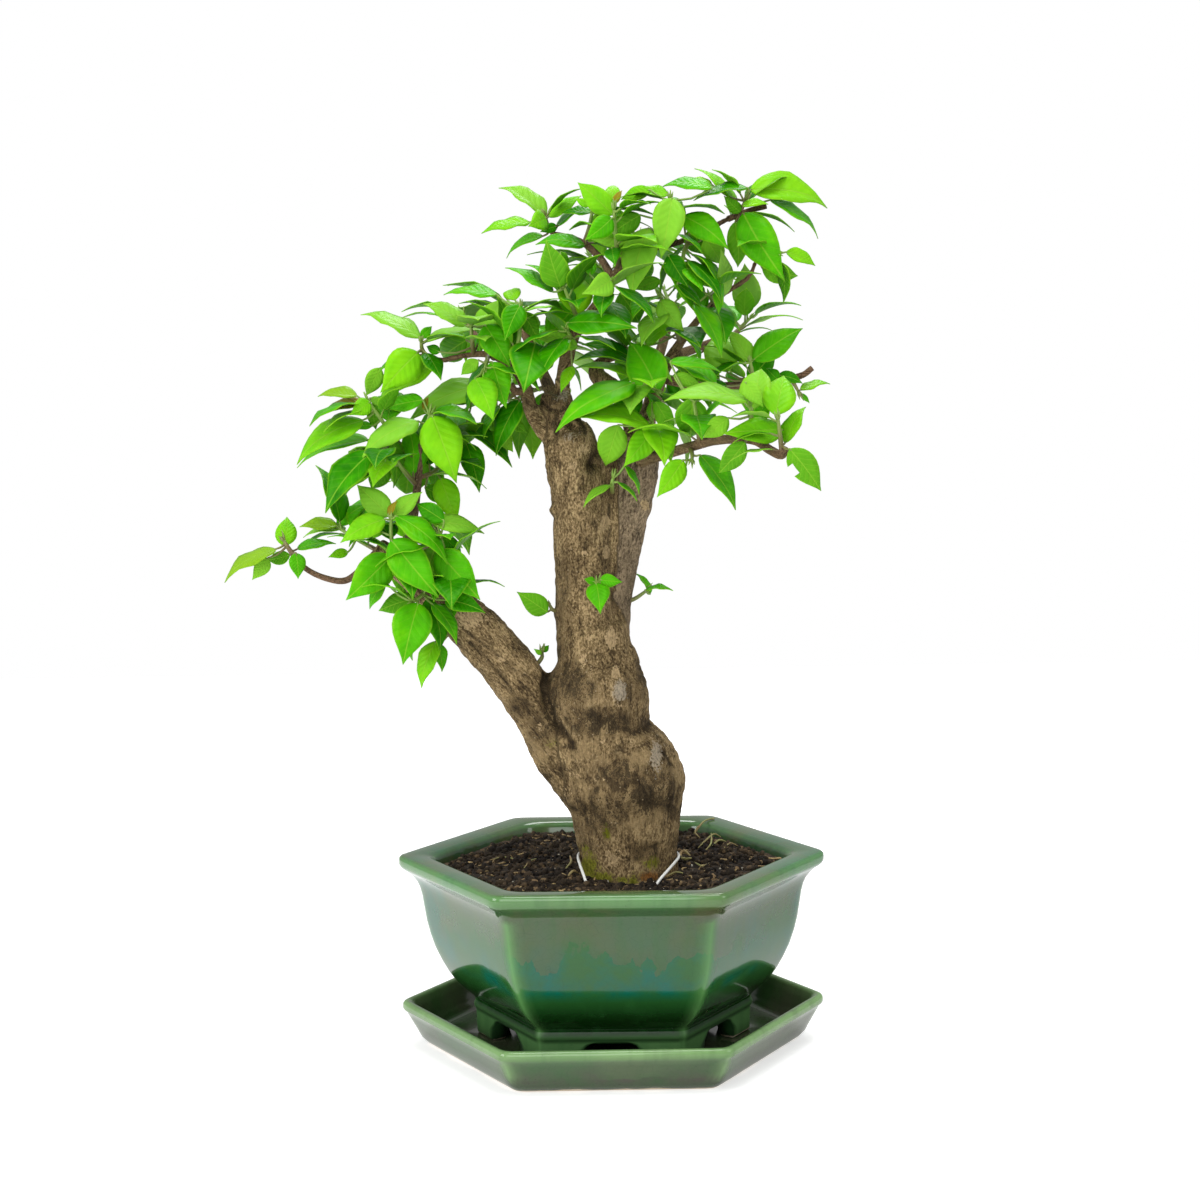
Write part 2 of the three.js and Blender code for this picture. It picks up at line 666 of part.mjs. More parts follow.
// Leafy shoots. Each has a green stem from the wood outwards (sheet place and depth), and leaves given
// by the sheet places of the blade's base and tip, its width on the sheet, and which way the tip leans
// in depth: -1 towards the front, 1 towards the back.
const SHOOTS = {
  boughTwigTip: {
    stem: [[293, 555, -32], [287, 546, -32], [284, 541, -31]],
    leaves: [
      [284, 546, 287, 516, 22, 1], [276, 549, 222, 578, 14, -1], [268, 558, 252, 580, 16, -1],
      [290, 555, 267, 560, 14, 1], [296, 553, 298, 579, 17, -1], [297, 549, 336, 542, 10, 1],
    ],
  },
  boughEndBack: {
    stem: [[380, 552, -26], [358, 540, -12], [340, 529, -6]],
    leaves: [
      [345, 528, 302, 535, 8, 1], [337, 526, 299, 525, 13, 1], [337, 525, 368, 503, 16, 1],
      [362, 533, 348, 546, 5, -1], [348, 552, 328, 557, 10, -1],
    ],
  },
  boughEndFront: {
    stem: [[402, 572, -28], [396, 556, -44], [391, 535, -50], [391, 519, -48]],
    leaves: [
      [391, 540, 438, 597, 38, -1], [391, 556, 346, 600, 36, -1], [385, 519, 340, 542, 24, -1],
      [396, 516, 450, 560, 22, -1], [390, 516, 356, 484, 26, 1], [393, 517, 422, 491, 18, 1],
      [388, 515, 397, 500, 7, 1],
    ],
  },
  boughUnderLeaves: {
    stem: [[424, 588, -26], [423, 594, -44], [413, 602, -52]],
    leaves: [
      [418, 603, 403, 664, 40, -1], [432, 604, 458, 643, 16, -1], [445, 600, 485, 612, 20, -1],
      [415, 598, 378, 611, 22, 1], [385, 582, 368, 609, 12, 1],
    ],
  },
  boughRightSpray: {
    stem: [[446, 604, -24], [450, 580, -36], [446, 556, -44], [440, 536, -46]],
    leaves: [
      [437, 551, 480, 600, 35, -1], [432, 522, 485, 532, 18, 1], [440, 535, 463, 560, 14, 1],
      [444, 521, 415, 503, 20, 1],
    ],
  },
  boughThornLeaves: {
    stem: [[456, 617, -26], [446, 636, -34], [440, 642, -36]],
    leaves: [[436, 641, 419, 687, 20, -1], [437, 643, 443, 672, 13, -1]],
  },
  riserTip: {
    stem: [[420, 450, -18], [424, 432, -24], [430, 414, -26]],
    leaves: [
      [432, 416, 456, 482, 42, -1], [415, 440, 405, 499, 42, 1], [418, 421, 360, 455, 24, -1],
      [423, 400, 383, 408, 17, 1], [435, 412, 472, 413, 8, 1], [424, 410, 428, 396, 6, 1],
    ],
  },
  riserMiddle: {
    stem: [[419, 478, -20], [436, 470, -8], [448, 452, -2], [462, 436, 2]],
    leaves: [
      [440, 478, 457, 525, 26, -1], [437, 470, 437, 500, 8, 1], [425, 488, 455, 500, 18, 1],
      [463, 425, 513, 466, 16, -1], [466, 443, 480, 492, 24, -1], [472, 400, 440, 405, 10, 1],
    ],
  },
  leftSprayLow: {
    stem: [[417, 486, -20], [403, 470, -30], [390, 452, -36], [378, 446, -38]],
    leaves: [
      [372, 452, 324, 512, 30, -1], [388, 445, 342, 494, 20, 1], [388, 465, 371, 489, 22, 1],
      [392, 440, 394, 488, 16, 1],
    ],
  },
  leftSprayHigh: {
    stem: [[419, 462, -19], [396, 440, -22], [380, 418, -26], [368, 402, -26]],
    leaves: [
      [363, 420, 294, 459, 24, -1], [368, 440, 295, 464, 12, 1], [372, 426, 350, 428, 8, 1],
      [357, 396, 317, 394, 11, 1], [362, 402, 320, 412, 11, 1], [370, 402, 350, 415, 18, -1],
      [372, 404, 376, 430, 13, 1], [370, 398, 386, 408, 9, 1],
    ],
  },
  leftTopTip: {
    stem: [[425, 355, -8], [422, 349, -16], [421, 342, -20]],
    leaves: [
      [418, 352, 381, 392, 36, -1], [420, 338, 362, 309, 16, 1], [434, 366, 375, 399, 22, 1],
      [421, 338, 432, 326, 10, 1], [425, 342, 490, 329, 8, 1], [380, 368, 366, 396, 18, 1],
    ],
  },
  leftTopHeart: {
    stem: [[474, 355, -16], [472, 342, -22], [471, 326, -22]],
    leaves: [
      [485, 325, 510, 367, 30, -1], [466, 340, 440, 358, 28, 1], [474, 326, 527, 303, 22, 1],
      [466, 326, 423, 302, 18, 1], [440, 352, 426, 346, 10, 1],
    ],
  },
  leftTopHanging: {
    stem: [[488, 354, -18], [487, 361, -30], [485, 368, -36]],
    leaves: [[492, 362, 506, 408, 28, -1], [475, 378, 493, 420, 30, -1], [478, 360, 461, 375, 14, 1]],
  },
  leftForkSpray: {
    stem: [[510, 366, -21], [518, 345, -32], [520, 318, -34], [520, 308, -33]],
    leaves: [
      [535, 343, 524, 390, 46, -1], [520, 305, 505, 340, 25, -1], [522, 312, 538, 340, 18, 1],
      [497, 295, 443, 291, 11, 1], [515, 300, 511, 288, 18, 1],
    ],
  },
  underLeftTop: {
    stem: [[518, 391, -24], [508, 398, -14], [496, 400, -6]],
    leaves: [
      [520, 400, 494, 455, 24, -1], [487, 384, 406, 418, 26, -1], [490, 412, 488, 445, 14, 1],
      [500, 432, 513, 452, 14, 1], [508, 418, 527, 433, 12, 1],
    ],
  },
  topLeftTip: {
    stem: [[553, 234, 4], [548, 226, 3], [545, 216, 2]],
    leaves: [
      [546, 216, 500, 184, 16, 1], [548, 217, 581, 195, 14, 1], [546, 218, 529, 226, 22, -1],
      [530, 222, 481, 231, 11, -1], [543, 236, 504, 255, 8, 1], [557, 226, 540, 232, 10, -1],
    ],
  },
  topLeftMiddle: {
    stem: [[584, 244, -4], [589, 228, -10], [592, 212, -12]],
    leaves: [
      [585, 245, 536, 241, 14, -1], [592, 212, 560, 212, 8, 1], [590, 206, 575, 198, 8, 1],
    ],
  },
  leaderLow: {
    stem: [[580, 326, -17], [572, 306, -30], [564, 288, -33]],
    leaves: [
      [560, 287, 546, 240, 30, -1], [548, 338, 588, 297, 34, 1], [553, 292, 506, 265, 11, 1],
      [558, 290, 527, 262, 9, 1], [568, 283, 588, 261, 8, 1], [560, 252, 568, 266, 10, 1],
    ],
  },
  leaderLowFront: {
    stem: [[571, 342, -17], [570, 336, -32], [567, 330, -40]],
    leaves: [[567, 323, 637, 327, 24, -1], [578, 346, 531, 335, 18, -1], [572, 366, 560, 392, 12, 1]],
  },
  topCentre: {
    stem: [[618, 270, -18], [616, 240, -26], [614, 210, -28]],
    leaves: [
      [612, 218, 585, 240, 22, -1], [613, 215, 577, 182, 24, 1], [612, 205, 614, 183, 16, 1],
      [612, 248, 615, 264, 18, -1], [614, 203, 622, 190, 7, 1],
    ],
  },
  topRight: {
    stem: [[665, 246, -12], [669, 222, -24], [670, 200, -26]],
    leaves: [
      [672, 198, 661, 258, 32, -1], [648, 228, 631, 297, 34, -1], [640, 215, 606, 238, 22, 1],
      [650, 190, 620, 199, 14, 1], [668, 195, 633, 190, 12, 1], [712, 188, 661, 184, 12, 1],
      [628, 240, 590, 239, 18, 1],
    ],
  },
  topFarRight: {
    stem: [[739, 214, -6], [742, 208, -10], [745, 201, -11]],
    leaves: [
      [743, 213, 785, 280, 38, -1], [750, 190, 830, 203, 28, 1], [735, 222, 738, 268, 22, 1],
      [737, 205, 697, 165, 9, 1], [748, 188, 693, 199, 9, 1], [740, 212, 724, 196, 13, 1],
      [742, 205, 768, 203, 8, -1], [712, 185, 687, 179, 7, 1], [770, 200, 822, 234, 10, 1],
    ],
  },
  leaderRightDrop: {
    stem: [[690, 237, -9], [684, 252, -22], [682, 266, -26]],
    leaves: [
      [683, 216, 729, 249, 26, -1], [690, 228, 705, 255, 26, 1], [668, 255, 688, 287, 22, -1],
      [685, 262, 712, 288, 18, 1], [705, 238, 722, 265, 22, 1], [677, 284, 703, 307, 10, 1],
    ],
  },
  rightRiserTip: {
    stem: [[756, 262, -4], [762, 254, -8], [770, 250, -14], [776, 252, -18]],
    leaves: [
      [762, 268, 798, 276, 22, 1], [786, 252, 816, 265, 13, 1], [760, 262, 757, 243, 10, 1],
    ],
  },
  rightRiserMiddle: {
    stem: [[713, 303, 1], [711, 298, -10], [708, 294, -16]],
    leaves: [
      [703, 312, 661, 262, 24, -1], [706, 308, 689, 285, 18, 1], [724, 295, 721, 249, 16, 1],
      [700, 315, 742, 328, 8, 1], [715, 292, 719, 314, 9, -1], [694, 303, 723, 357, 18, -1],
    ],
  },
  rightInner: {
    stem: [[680, 343, 13], [674, 324, 0], [666, 306, -8], [660, 296, -10]],
    leaves: [
      [660, 300, 684, 332, 22, -1], [645, 345, 678, 322, 14, -1],
      [620, 293, 640, 325, 30, 1], [660, 280, 635, 290, 14, 1], [683, 330, 703, 364, 6, -1],
    ],
  },
  centreRound: {
    stem: [[602, 298, -18], [606, 290, -34], [610, 283, -38]],
    leaves: [[611, 280, 584, 293, 24, -1], [590, 275, 592, 258, 12, 1]],
  },
  centreDark: {
    stem: [[629, 352, 12], [634, 356, 2], [634, 362, -4]],
    leaves: [[630, 357, 582, 343, 16, 1], [630, 364, 575, 358, 8, -1]],
  },
  stemTopSpray: {
    stem: [[655, 437, -27], [653, 428, -38], [652, 420, -44]],
    leaves: [
      [650, 425, 570, 414, 20, -1], [652, 430, 624, 466, 26, -1], [655, 402, 672, 440, 18, 1],
      [618, 425, 605, 467, 30, 1], [652, 402, 652, 425, 8, 1],
    ],
  },
  centreHeart: {
    stem: [[619, 394, 0], [632, 386, -16], [645, 384, -28], [655, 390, -34]],
    leaves: [
      [658, 392, 628, 340, 42, 1], [634, 383, 554, 424, 26, -1], [634, 378, 601, 400, 6, -1],
      [635, 378, 568, 367, 8, 1], [640, 390, 617, 392, 10, -1],
    ],
  },
  nearMiddle: {
    stem: [[700, 445, -63], [697, 422, -72], [694, 402, -76]],
    leaves: [
      [692, 398, 690, 440, 34, 1], [670, 362, 722, 370, 10, 1], [674, 376, 700, 384, 14, 1],
      [716, 384, 670, 362, 14, 1],
    ],
  },
  nearEnd: {
    stem: [[752, 440, -94], [752, 424, -102], [750, 406, -106]],
    leaves: [
      [748, 400, 665, 396, 18, -1], [783, 430, 723, 433, 26, -1], [728, 418, 703, 438, 20, 1],
      [745, 382, 763, 407, 18, -1], [745, 442, 718, 474, 22, 1],
    ],
  },
  nearTip: {
    stem: [[782, 453, -109], [780, 436, -112], [778, 420, -112]],
    leaves: [[775, 415, 784, 374, 34, 1], [785, 443, 804, 404, 17, 1], [790, 449, 821, 491, 28, -1]],
  },
  nearUnder: {
    stem: [[690, 447, -55], [692, 454, -64], [692, 459, -68]],
    leaves: [[700, 455, 738, 508, 22, -1], [683, 460, 657, 497, 24, -1]],
  },
  rightSpanLeaves: {
    stem: [[748, 385, 12], [752, 374, 2], [750, 361, -4]],
    leaves: [
      [753, 360, 803, 327, 28, 1], [727, 372, 717, 331, 36, 1], [748, 380, 776, 347, 22, 1],
      [750, 362, 727, 329, 18, 1], [720, 376, 698, 376, 8, 1], [727, 386, 700, 384, 8, 1],
    ],
  },
  rightSpanTip: {
    stem: [[790, 378, 8], [794, 384, 4], [798, 391, 2]],
    leaves: [
      [778, 380, 766, 368, 14, 1], [778, 375, 803, 383, 12, 1], [800, 390, 830, 381, 8, 1],
      [800, 394, 810, 403, 5, 1],
    ],
  },
  sproutLeft: {
    stem: [[562, 612, -22], [553, 610, -26], [550, 606, -27]],
    leaves: [[547, 612, 517, 592, 22, -1]],
  },
  sproutFront: {
    stem: [[592, 600, -22], [597, 590, -40], [598, 584, -43]],
    leaves: [[596, 583, 600, 612, 24, -1], [600, 580, 622, 582, 14, -1], [595, 582, 584, 579, 8, 1]],
  },
  sproutRight: {
    stem: [[618, 604, -12], [634, 599, -12], [646, 591, -12]],
    leaves: [[645, 590, 673, 589, 5, -1], [650, 594, 635, 572, 6, 1]],
  },
  sproutBough: {
    stem: [[530, 672, -20], [541, 659, -20], [542, 653, -20]],
    leaves: [[541, 654, 534, 649, 5, -1], [543, 652, 549, 645, 6, 1]],
  },
  sproutHigh: {
    stem: [[612, 496, -16], [612, 484, -34], [613, 478, -36]],
    leaves: [[610, 485, 582, 505, 8, -1], [618, 482, 638, 500, 4, -1], [625, 465, 641, 493, 6, -1]],
  },
};

// Shoots that face the back and sides, filled by the turn between one leaf and the next up a stem.
const BACK_SHOOTS = {
  backLeftTip: { stem: [[519, 324, 68], [512, 310, 82], [508, 300, 90]], count: 5 },
  backLeftMiddle: { stem: [[536, 357, 43], [552, 348, 60], [560, 334, 72]], count: 5 },
  backLeftLow: { stem: [[548, 386, 20], [530, 392, 34], [514, 400, 44]], count: 4 },
  backRightTip: { stem: [[673, 314, 87], [668, 300, 100], [664, 290, 106]], count: 5 },
  backRightMiddle: { stem: [[660, 354, 61], [640, 348, 74], [624, 340, 82]], count: 5 },
  backRightLow: { stem: [[651, 398, 34], [668, 402, 48], [684, 408, 58]], count: 4 },
  backTopTip: { stem: [[625, 264, 54], [634, 248, 64], [640, 236, 70]], count: 5 },
  backTopMiddle: { stem: [[613, 281, 22], [600, 268, 34], [590, 256, 42]], count: 4 },
  boughBackTip: { stem: [[438, 512, 33], [440, 498, 46], [440, 488, 54]], count: 5 },
  boughBackLow: { stem: [[432, 550, 5], [416, 548, 22], [402, 544, 32]], count: 4 },
  farRightTip: { stem: [[731, 337, 80], [742, 326, 90], [750, 318, 95]], count: 5 },
  farRightMiddle: { stem: [[703, 346, 48], [716, 360, 56], [728, 368, 62]], count: 4 },
  upperLeftTip: { stem: [[473, 333, 46], [466, 322, 58], [462, 314, 64]], count: 5 },
};

const GOLDEN_TURN = Math.PI * (3 - Math.sqrt(5));
const SEED = 20;
const STEM_SIDES = 3;
const PETIOLE_LENGTH = 6;
const ROOT_SHARE = 0.4;
const LONGEST_LEAF = 52;

// Repeatable numbers from 0 to 1.
function drawFrom(seed) {
  let state = seed;
  return () => {
    state = (state * 1664525 + 1013904223) % 4294967296;
    return state / 4294967296;
  };
}

// Every unlike pair of corners that a face joins.
function edgesOf(faces) {
  const seen = new Map();
  faces.forEach(([a, b, c]) => {
    [[a, b], [b, c], [c, a]].forEach(([from, to]) => {
      seen.set(Math.min(from, to) * 100 + Math.max(from, to), [from, to]);
    });
  });
  return [...seen.values()];
}

// Whether the line between two points goes through a triangle.
function pierces(from, to, a, b, c) {
  const side = b.clone().sub(a);
  const other = c.clone().sub(a);
  const line = to.clone().sub(from);
  const turned = line.clone().cross(other);
  const spread = side.dot(turned);
  if (Math.abs(spread) < 1e-12) return false;
  const gap = from.clone().sub(a);
  const first = gap.dot(turned) / spread;
  if (first < 0 || first > 1) return false;
  const crossed = gap.cross(side);
  const second = line.dot(crossed) / spread;
  if (second < 0 || first + second > 1) return false;
  const reach = other.dot(crossed) / spread;
  return reach >= 0 && reach <= 1;
}

// The least distance between two straight pieces.
function distanceBetween(a, b, c, d) {
  const first = b.clone().sub(a);
  const second = d.clone().sub(c);
  const gap = a.clone().sub(c);
  const lengthFirst = first.lengthSq();
  const lengthSecond = second.lengthSq();
  const mixed = first.dot(second);
  const alongFirst = first.dot(gap);
  const alongSecond = second.dot(gap);
  const spread = lengthFirst * lengthSecond - mixed * mixed;
  const clamp = (value) => Math.min(Math.max(value, 0), 1);
  let s = spread > 1e-9 ? clamp((mixed * alongSecond - alongFirst * lengthSecond) / spread) : 0;
  let t = (mixed * s + alongSecond) / lengthSecond;
  if (t < 0) {
    t = 0;
    s = clamp(-alongFirst / lengthFirst);
  } else if (t > 1) {
    t = 1;
    s = clamp((mixed - alongFirst) / lengthFirst);
  }
  return a.clone().addScaledVector(first, s).distanceTo(c.clone().addScaledVector(second, t));
}

// A leaf a little larger than life, to keep real leaves apart.
function leafShape(node, leaf) {
  const frame = bladeFrame(leaf.base, leaf.tip, leaf.normal, leaf.width + CLEAR_MARGIN);
  const shell = leafShell(leaf.root, frame, BLADE_THICKNESS + CLEAR_MARGIN, -CLEAR_MARGIN / 2);
  const bladeFaces = shell.faces.slice(7);
  return {
    node,
    points: shell.points,
    faces: shell.faces,
    edges: edgesOf(shell.faces),
    bladeFaces,
    bladeEdges: edgesOf(bladeFaces),
    petiole: [leaf.root.clone().lerp(leaf.base, 0.45), leaf.base],
    middle: leaf.root.clone().lerp(leaf.tip, 0.5),
    reach: leaf.root.distanceTo(leaf.tip) / 2 + leaf.width / 2 + CLEAR_MARGIN,
  };
}

function edgesPierce(points, edges, others, faces) {
  return edges.some(([from, to]) =>
    faces.some(([a, b, c]) => pierces(points[from], points[to], others[a], others[b], others[c])),
  );
}

function shapesCross(one, other) {
  if (one.middle.distanceTo(other.middle) > one.reach + other.reach) return false;
  const kin = one.node === other.node;
  const [oneEdges, oneFaces] = kin ? [one.bladeEdges, one.bladeFaces] : [one.edges, one.faces];
  const [otherEdges, otherFaces] = kin ? [other.bladeEdges, other.bladeFaces] : [other.edges, other.faces];
  return (
    edgesPierce(one.points, oneEdges, other.points, otherFaces) ||
    edgesPierce(other.points, otherEdges, one.points, oneFaces)
  );
}

function rodCrosses(rod, shape) {
  if (rod.node === shape.node) return false;
  if (rod.middle.distanceTo(shape.middle) > rod.reach + shape.reach) return false;
  const edges = rod.node ? shape.edges : shape.bladeEdges;
  const faces = rod.node ? shape.faces : shape.bladeFaces;
  const { points, petiole } = shape;
  return (
    distanceBetween(rod.from, rod.to, ...petiole) < rod.radius + PETIOLE_RADIUS ||
    edges.some(([a, b]) => distanceBetween(rod.from, rod.to, points[a], points[b]) < rod.radius) ||
    faces.some(([a, b, c]) => pierces(rod.from, rod.to, points[a], points[b], points[c]))
  );
}

function rodsAlong(points, radii, node) {
  return points.slice(1).map((to, index) => {
    const from = points[index];
    const radius = Math.max(radii[index], radii[index + 1]) + CLEAR_MARGIN / 2;
    const middle = from.clone().lerp(to, 0.5);
    return { node, from, to, radius, middle, reach: from.distanceTo(to) / 2 + radius };
  });
}

const woodLimbs = [TRUNK, MAIN_STEM, MAIN_STUB, FRONT_SCAR, RIGHT_STEM, BOUGH, ...Object.values(BRANCHES)];
const rods = woodLimbs.flatMap((stations) =>
  rodsAlong(
    stations.map(([u, v, depth]) => plot(u, v, depth)),
    stations.map((station) => station[3]),
    "",
  ),
);
const allShoots = Object.entries({ ...SHOOTS, ...BACK_SHOOTS }).map(([node, shoot]) => {
  const points = shoot.stem.map(([u, v, depth]) => plot(u, v, depth));
  rods.push(...rodsAlong(points, points.map(() => STEM_RADIUS), node));
  return { node, ...shoot, points, solids: [] };
});
const placed = [];

function isClear(shape) {
  return !rods.some((rod) => rodCrosses(rod, shape)) && !placed.some((other) => shapesCross(shape, other));
}

// The place on a stem, seen on the sheet, that is nearest to a leaf's base.
function nearestOnStem(stem, u, v) {
  let best = { distance: Infinity };
  stem.slice(1).forEach(([endU, endV, endDepth], index) => {
    const [startU, startV, startDepth] = stem[index];
    const runU = endU - startU;
    const runV = endV - startV;
    const share = ((u - startU) * runU + (v - startV) * runV) / (runU * runU + runV * runV);
    const kept = Math.min(Math.max(share, index === 0 ? 0.5 : 0), 1);
    const place = [startU + kept * runU, startV + kept * runV];
    const distance = Math.hypot(u - place[0], v - place[1]);
    if (distance < best.distance) {
      best = { distance, u: place[0], v: place[1], depth: startDepth + kept * (endDepth - startDepth) };
    }
  });
  return best;
}

// A leaf from its places on the sheet. Foreshortening gives its lean in depth and its roll about its rib.
function sheetLeaf(stem, [baseU, baseV, tipU, tipV, widthSeen, lean], baseShift, tipShift) {
  const near = nearestOnStem(stem, baseU, baseV);
  const unit = (near.depth - EYE.y) / EYE_FOCUS;
  const offset = Math.max(2.5, PETIOLE_LENGTH - near.distance * unit);
  const baseDepth = near.depth + lean * offset + baseShift;
  const base = plot(baseU, baseV, baseDepth);
  const seen = base.distanceTo(plot(tipU, tipV, baseDepth));
  const broad = widthSeen * unit;
  const length = Math.min(Math.max(1.03 * seen, broad / FULL_WIDTH), LONGEST_LEAF);
  const away = lean * Math.sqrt(Math.max(length * length - seen * seen, 0));
  const tip = plot(tipU, tipV, baseDepth + away + tipShift);
  const width = Math.max(broad, SLIM_WIDTH * length);
  const along = tip.clone().sub(base).normalize();
  const toEye = EYE.clone().sub(base).normalize();
  const facing = toEye.addScaledVector(along, -toEye.dot(along)).normalize();
  const aside = along.clone().cross(facing);
  const share = Math.min(broad / width, 1);
  const tilt = Math.sqrt(1 - share * share);
  const normal = facing.multiplyScalar(share).addScaledVector(aside, aside.z > 0 ? tilt : -tilt);
  return { root: plot(near.u, near.v, near.depth), base, tip, normal, width };
}

// Shifts in depth, smallest first, that leave the leaf where it is on the sheet.
const DEPTH_SHIFTS = [[0, 0]];
for (let step = 1; step <= 7; step++) {
  const near = 2 * step;
  const far = 4 * step;
  DEPTH_SHIFTS.push([near, near], [0, far], [0, -far], [near, -near], [-near, near], [-near, -near]);
}

// The next leaf up a stem, turned on round it, then other turns and pitches until it is clear.
function turnedLeaf(shoot, index, draw) {
  const share = 0.3 + (0.7 * index) / (shoot.count - 1);
  const path = new THREE.CatmullRomCurve3(shoot.points);
  const root = path.getPoint(share);
  const along = path.getTangent(share);
  const across = new THREE.Vector3().crossVectors(along, UP).normalize();
  const third = new THREE.Vector3().crossVectors(across, along);
  const turn = index * GOLDEN_TURN + 0.6 * draw();
  const length = (42 - 12 * share) * (0.85 + 0.3 * draw());
  const width = (0.54 + 0.1 * draw()) * length;
  return TURNS.map(([turnShift, pitch, shrink]) => {
    const angle = turn + turnShift;
    const out = across.clone().multiplyScalar(Math.cos(angle)).addScaledVector(third, Math.sin(angle));
    const way = out.addScaledVector(along, 0.5 + pitch).normalize();
    const base = root.clone().addScaledVector(way, PETIOLE_LENGTH);
    const fall = way.clone().addScaledVector(UP, -0.3).normalize();
    const tip = base.clone().addScaledVector(fall, length * shrink);
    return { root, base, tip, normal: UP.clone().addScaledVector(way, 0.35), width: width * shrink };
  });
}
const TURNS = [0, 0.35, -0.35, 0.7, -0.7, 1.1, -1.1].flatMap((turn) => [
  [turn, 0, 1],
  [turn, 0.6, 1],
  [turn, -0.4, 1],
  [turn, 0.2, 0.75],
]);

function settle(shoot, leaves) {
  const chosen = leaves.find((leaf) => {
    const shape = leafShape(shoot.node, leaf);
    if (!isClear(shape)) return false;
    placed.push(shape);
    return true;
  });
  if (chosen) {
    const frame = bladeFrame(chosen.base, chosen.tip, chosen.normal, chosen.width);
    const shell = leafShell(chosen.root, frame, BLADE_THICKNESS, 0);
    shoot.solids.push(solidOf(shellOf(shell.points, shell.faces)));
  }
}

const draw = drawFrom(SEED);
allShoots.forEach((shoot) => {
  shoot.leaves?.forEach((row) => {
    settle(shoot, DEPTH_SHIFTS.map(([base, tip]) => sheetLeaf(shoot.stem, row, base, tip)));
  });
});
allShoots.forEach((shoot) => {
  for (let index = 0; index < (shoot.count ?? 0); index++) {
    settle(shoot, turnedLeaf(shoot, index, draw));
  }
});

function shootSolid(shoot) {
  const points = [...shoot.points];
  const end = points.at(-1).clone().sub(points.at(-2)).setLength(1.5);
  points.push(points.at(-1).clone().add(end));
  const radii = points.map((point, index) => STEM_RADIUS * (1 - (0.3 * index) / points.length));
  const stem = tubeThrough(ringsAlong(points, radii, STEM_SIDES, 0));
  const whole = joined([stem, ...shoot.solids]);
  return largestBody(whole.subtract(woodWithGap));
}

const bonsai = new THREE.Group();
const wireHole = anchorWire(WIRE_RADIUS + WOOD_GAP);
const soil = soilBody().subtract(woodWithGap).subtract(wireHole);
bonsai.add(
  meshOf("saucer", saucer, glazeGreen),
  meshOf("pot", pot, glazeGreen),
  meshOf("drainage_mesh", drainageMesh(), meshBlack),
  meshOf("soil", largestBody(soil), soilBrown),
  meshOf("trunk_wood", wood, barkBrown),
  meshOf("anchor_wire", anchorWire(WIRE_RADIUS), wireWhite),
);
allShoots.forEach((shoot) => bonsai.add(meshOf("leafy_" + shoot.node, shootSolid(shoot), leafGreen)));

export default bonsai;
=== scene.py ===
"""Bougainvillea bonsai in a green glazed hexagonal pot, which stands in its matching saucer."""

import math

import bmesh
import bpy
from mathutils import Matrix, Vector, kdtree, noise


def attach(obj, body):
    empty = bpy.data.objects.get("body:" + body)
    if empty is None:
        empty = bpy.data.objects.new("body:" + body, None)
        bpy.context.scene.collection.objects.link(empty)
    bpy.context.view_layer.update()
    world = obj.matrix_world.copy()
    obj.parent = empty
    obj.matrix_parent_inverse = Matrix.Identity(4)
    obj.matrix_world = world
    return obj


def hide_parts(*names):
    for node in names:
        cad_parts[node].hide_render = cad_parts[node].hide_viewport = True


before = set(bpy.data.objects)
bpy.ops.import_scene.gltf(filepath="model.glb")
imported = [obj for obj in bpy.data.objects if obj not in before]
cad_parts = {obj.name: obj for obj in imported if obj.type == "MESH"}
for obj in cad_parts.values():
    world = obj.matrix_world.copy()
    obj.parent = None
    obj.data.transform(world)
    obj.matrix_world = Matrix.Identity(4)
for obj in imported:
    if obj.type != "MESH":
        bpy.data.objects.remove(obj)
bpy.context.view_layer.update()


# The camera stands in front of the pot at the height of the lowest branches and looks slightly down.
# The front of the plant was read off a square sheet 1200 units wide that this camera sees.
SHEET_MIDDLE = 600
FOCUS = 2315
SENSOR = 36
NEAREST_SEEN = 0.05
EYE_PITCH = math.radians(6.04)
EYE_ROLL = math.radians(-0.85)
EYE_TURN = Matrix.Rotation(math.radians(-0.35), 3, "Z")
EYE = EYE_TURN @ Vector((-0.0041, -1.322, 0.3995))


def sight_line(u, v):
    right = u - SHEET_MIDDLE
    down = v - SHEET_MIDDLE
    across = math.cos(EYE_ROLL) * right + math.sin(EYE_ROLL) * down
    below = -math.sin(EYE_ROLL) * right + math.cos(EYE_ROLL) * down
    rise = -below / FOCUS
    forward = math.cos(EYE_PITCH) + rise * math.sin(EYE_PITCH)
    upward = -math.sin(EYE_PITCH) + rise * math.cos(EYE_PITCH)
    return EYE_TURN @ Vector((across / FOCUS, forward, upward))


def plot(u, v, depth):
    """The point that the eye sees at sheet place (u, v), at a depth in millimetres."""
    ray = sight_line(u, v)
    return EYE + ray * ((depth / 1000 - EYE.y) / ray.y)


def sheet_place(point):
    """The sheet place (u, v) at which the eye sees a point."""
    seen = EYE_TURN.transposed() @ (point - EYE)
    forward = seen.y * math.cos(EYE_PITCH) - seen.z * math.sin(EYE_PITCH)
    rise = seen.y * math.sin(EYE_PITCH) + seen.z * math.cos(EYE_PITCH)
    across = FOCUS * seen.x / forward
    below = -FOCUS * rise / forward
    right = math.cos(EYE_ROLL) * across - math.sin(EYE_ROLL) * below
    down = math.sin(EYE_ROLL) * across + math.cos(EYE_ROLL) * below
    return SHEET_MIDDLE + right, SHEET_MIDDLE + down


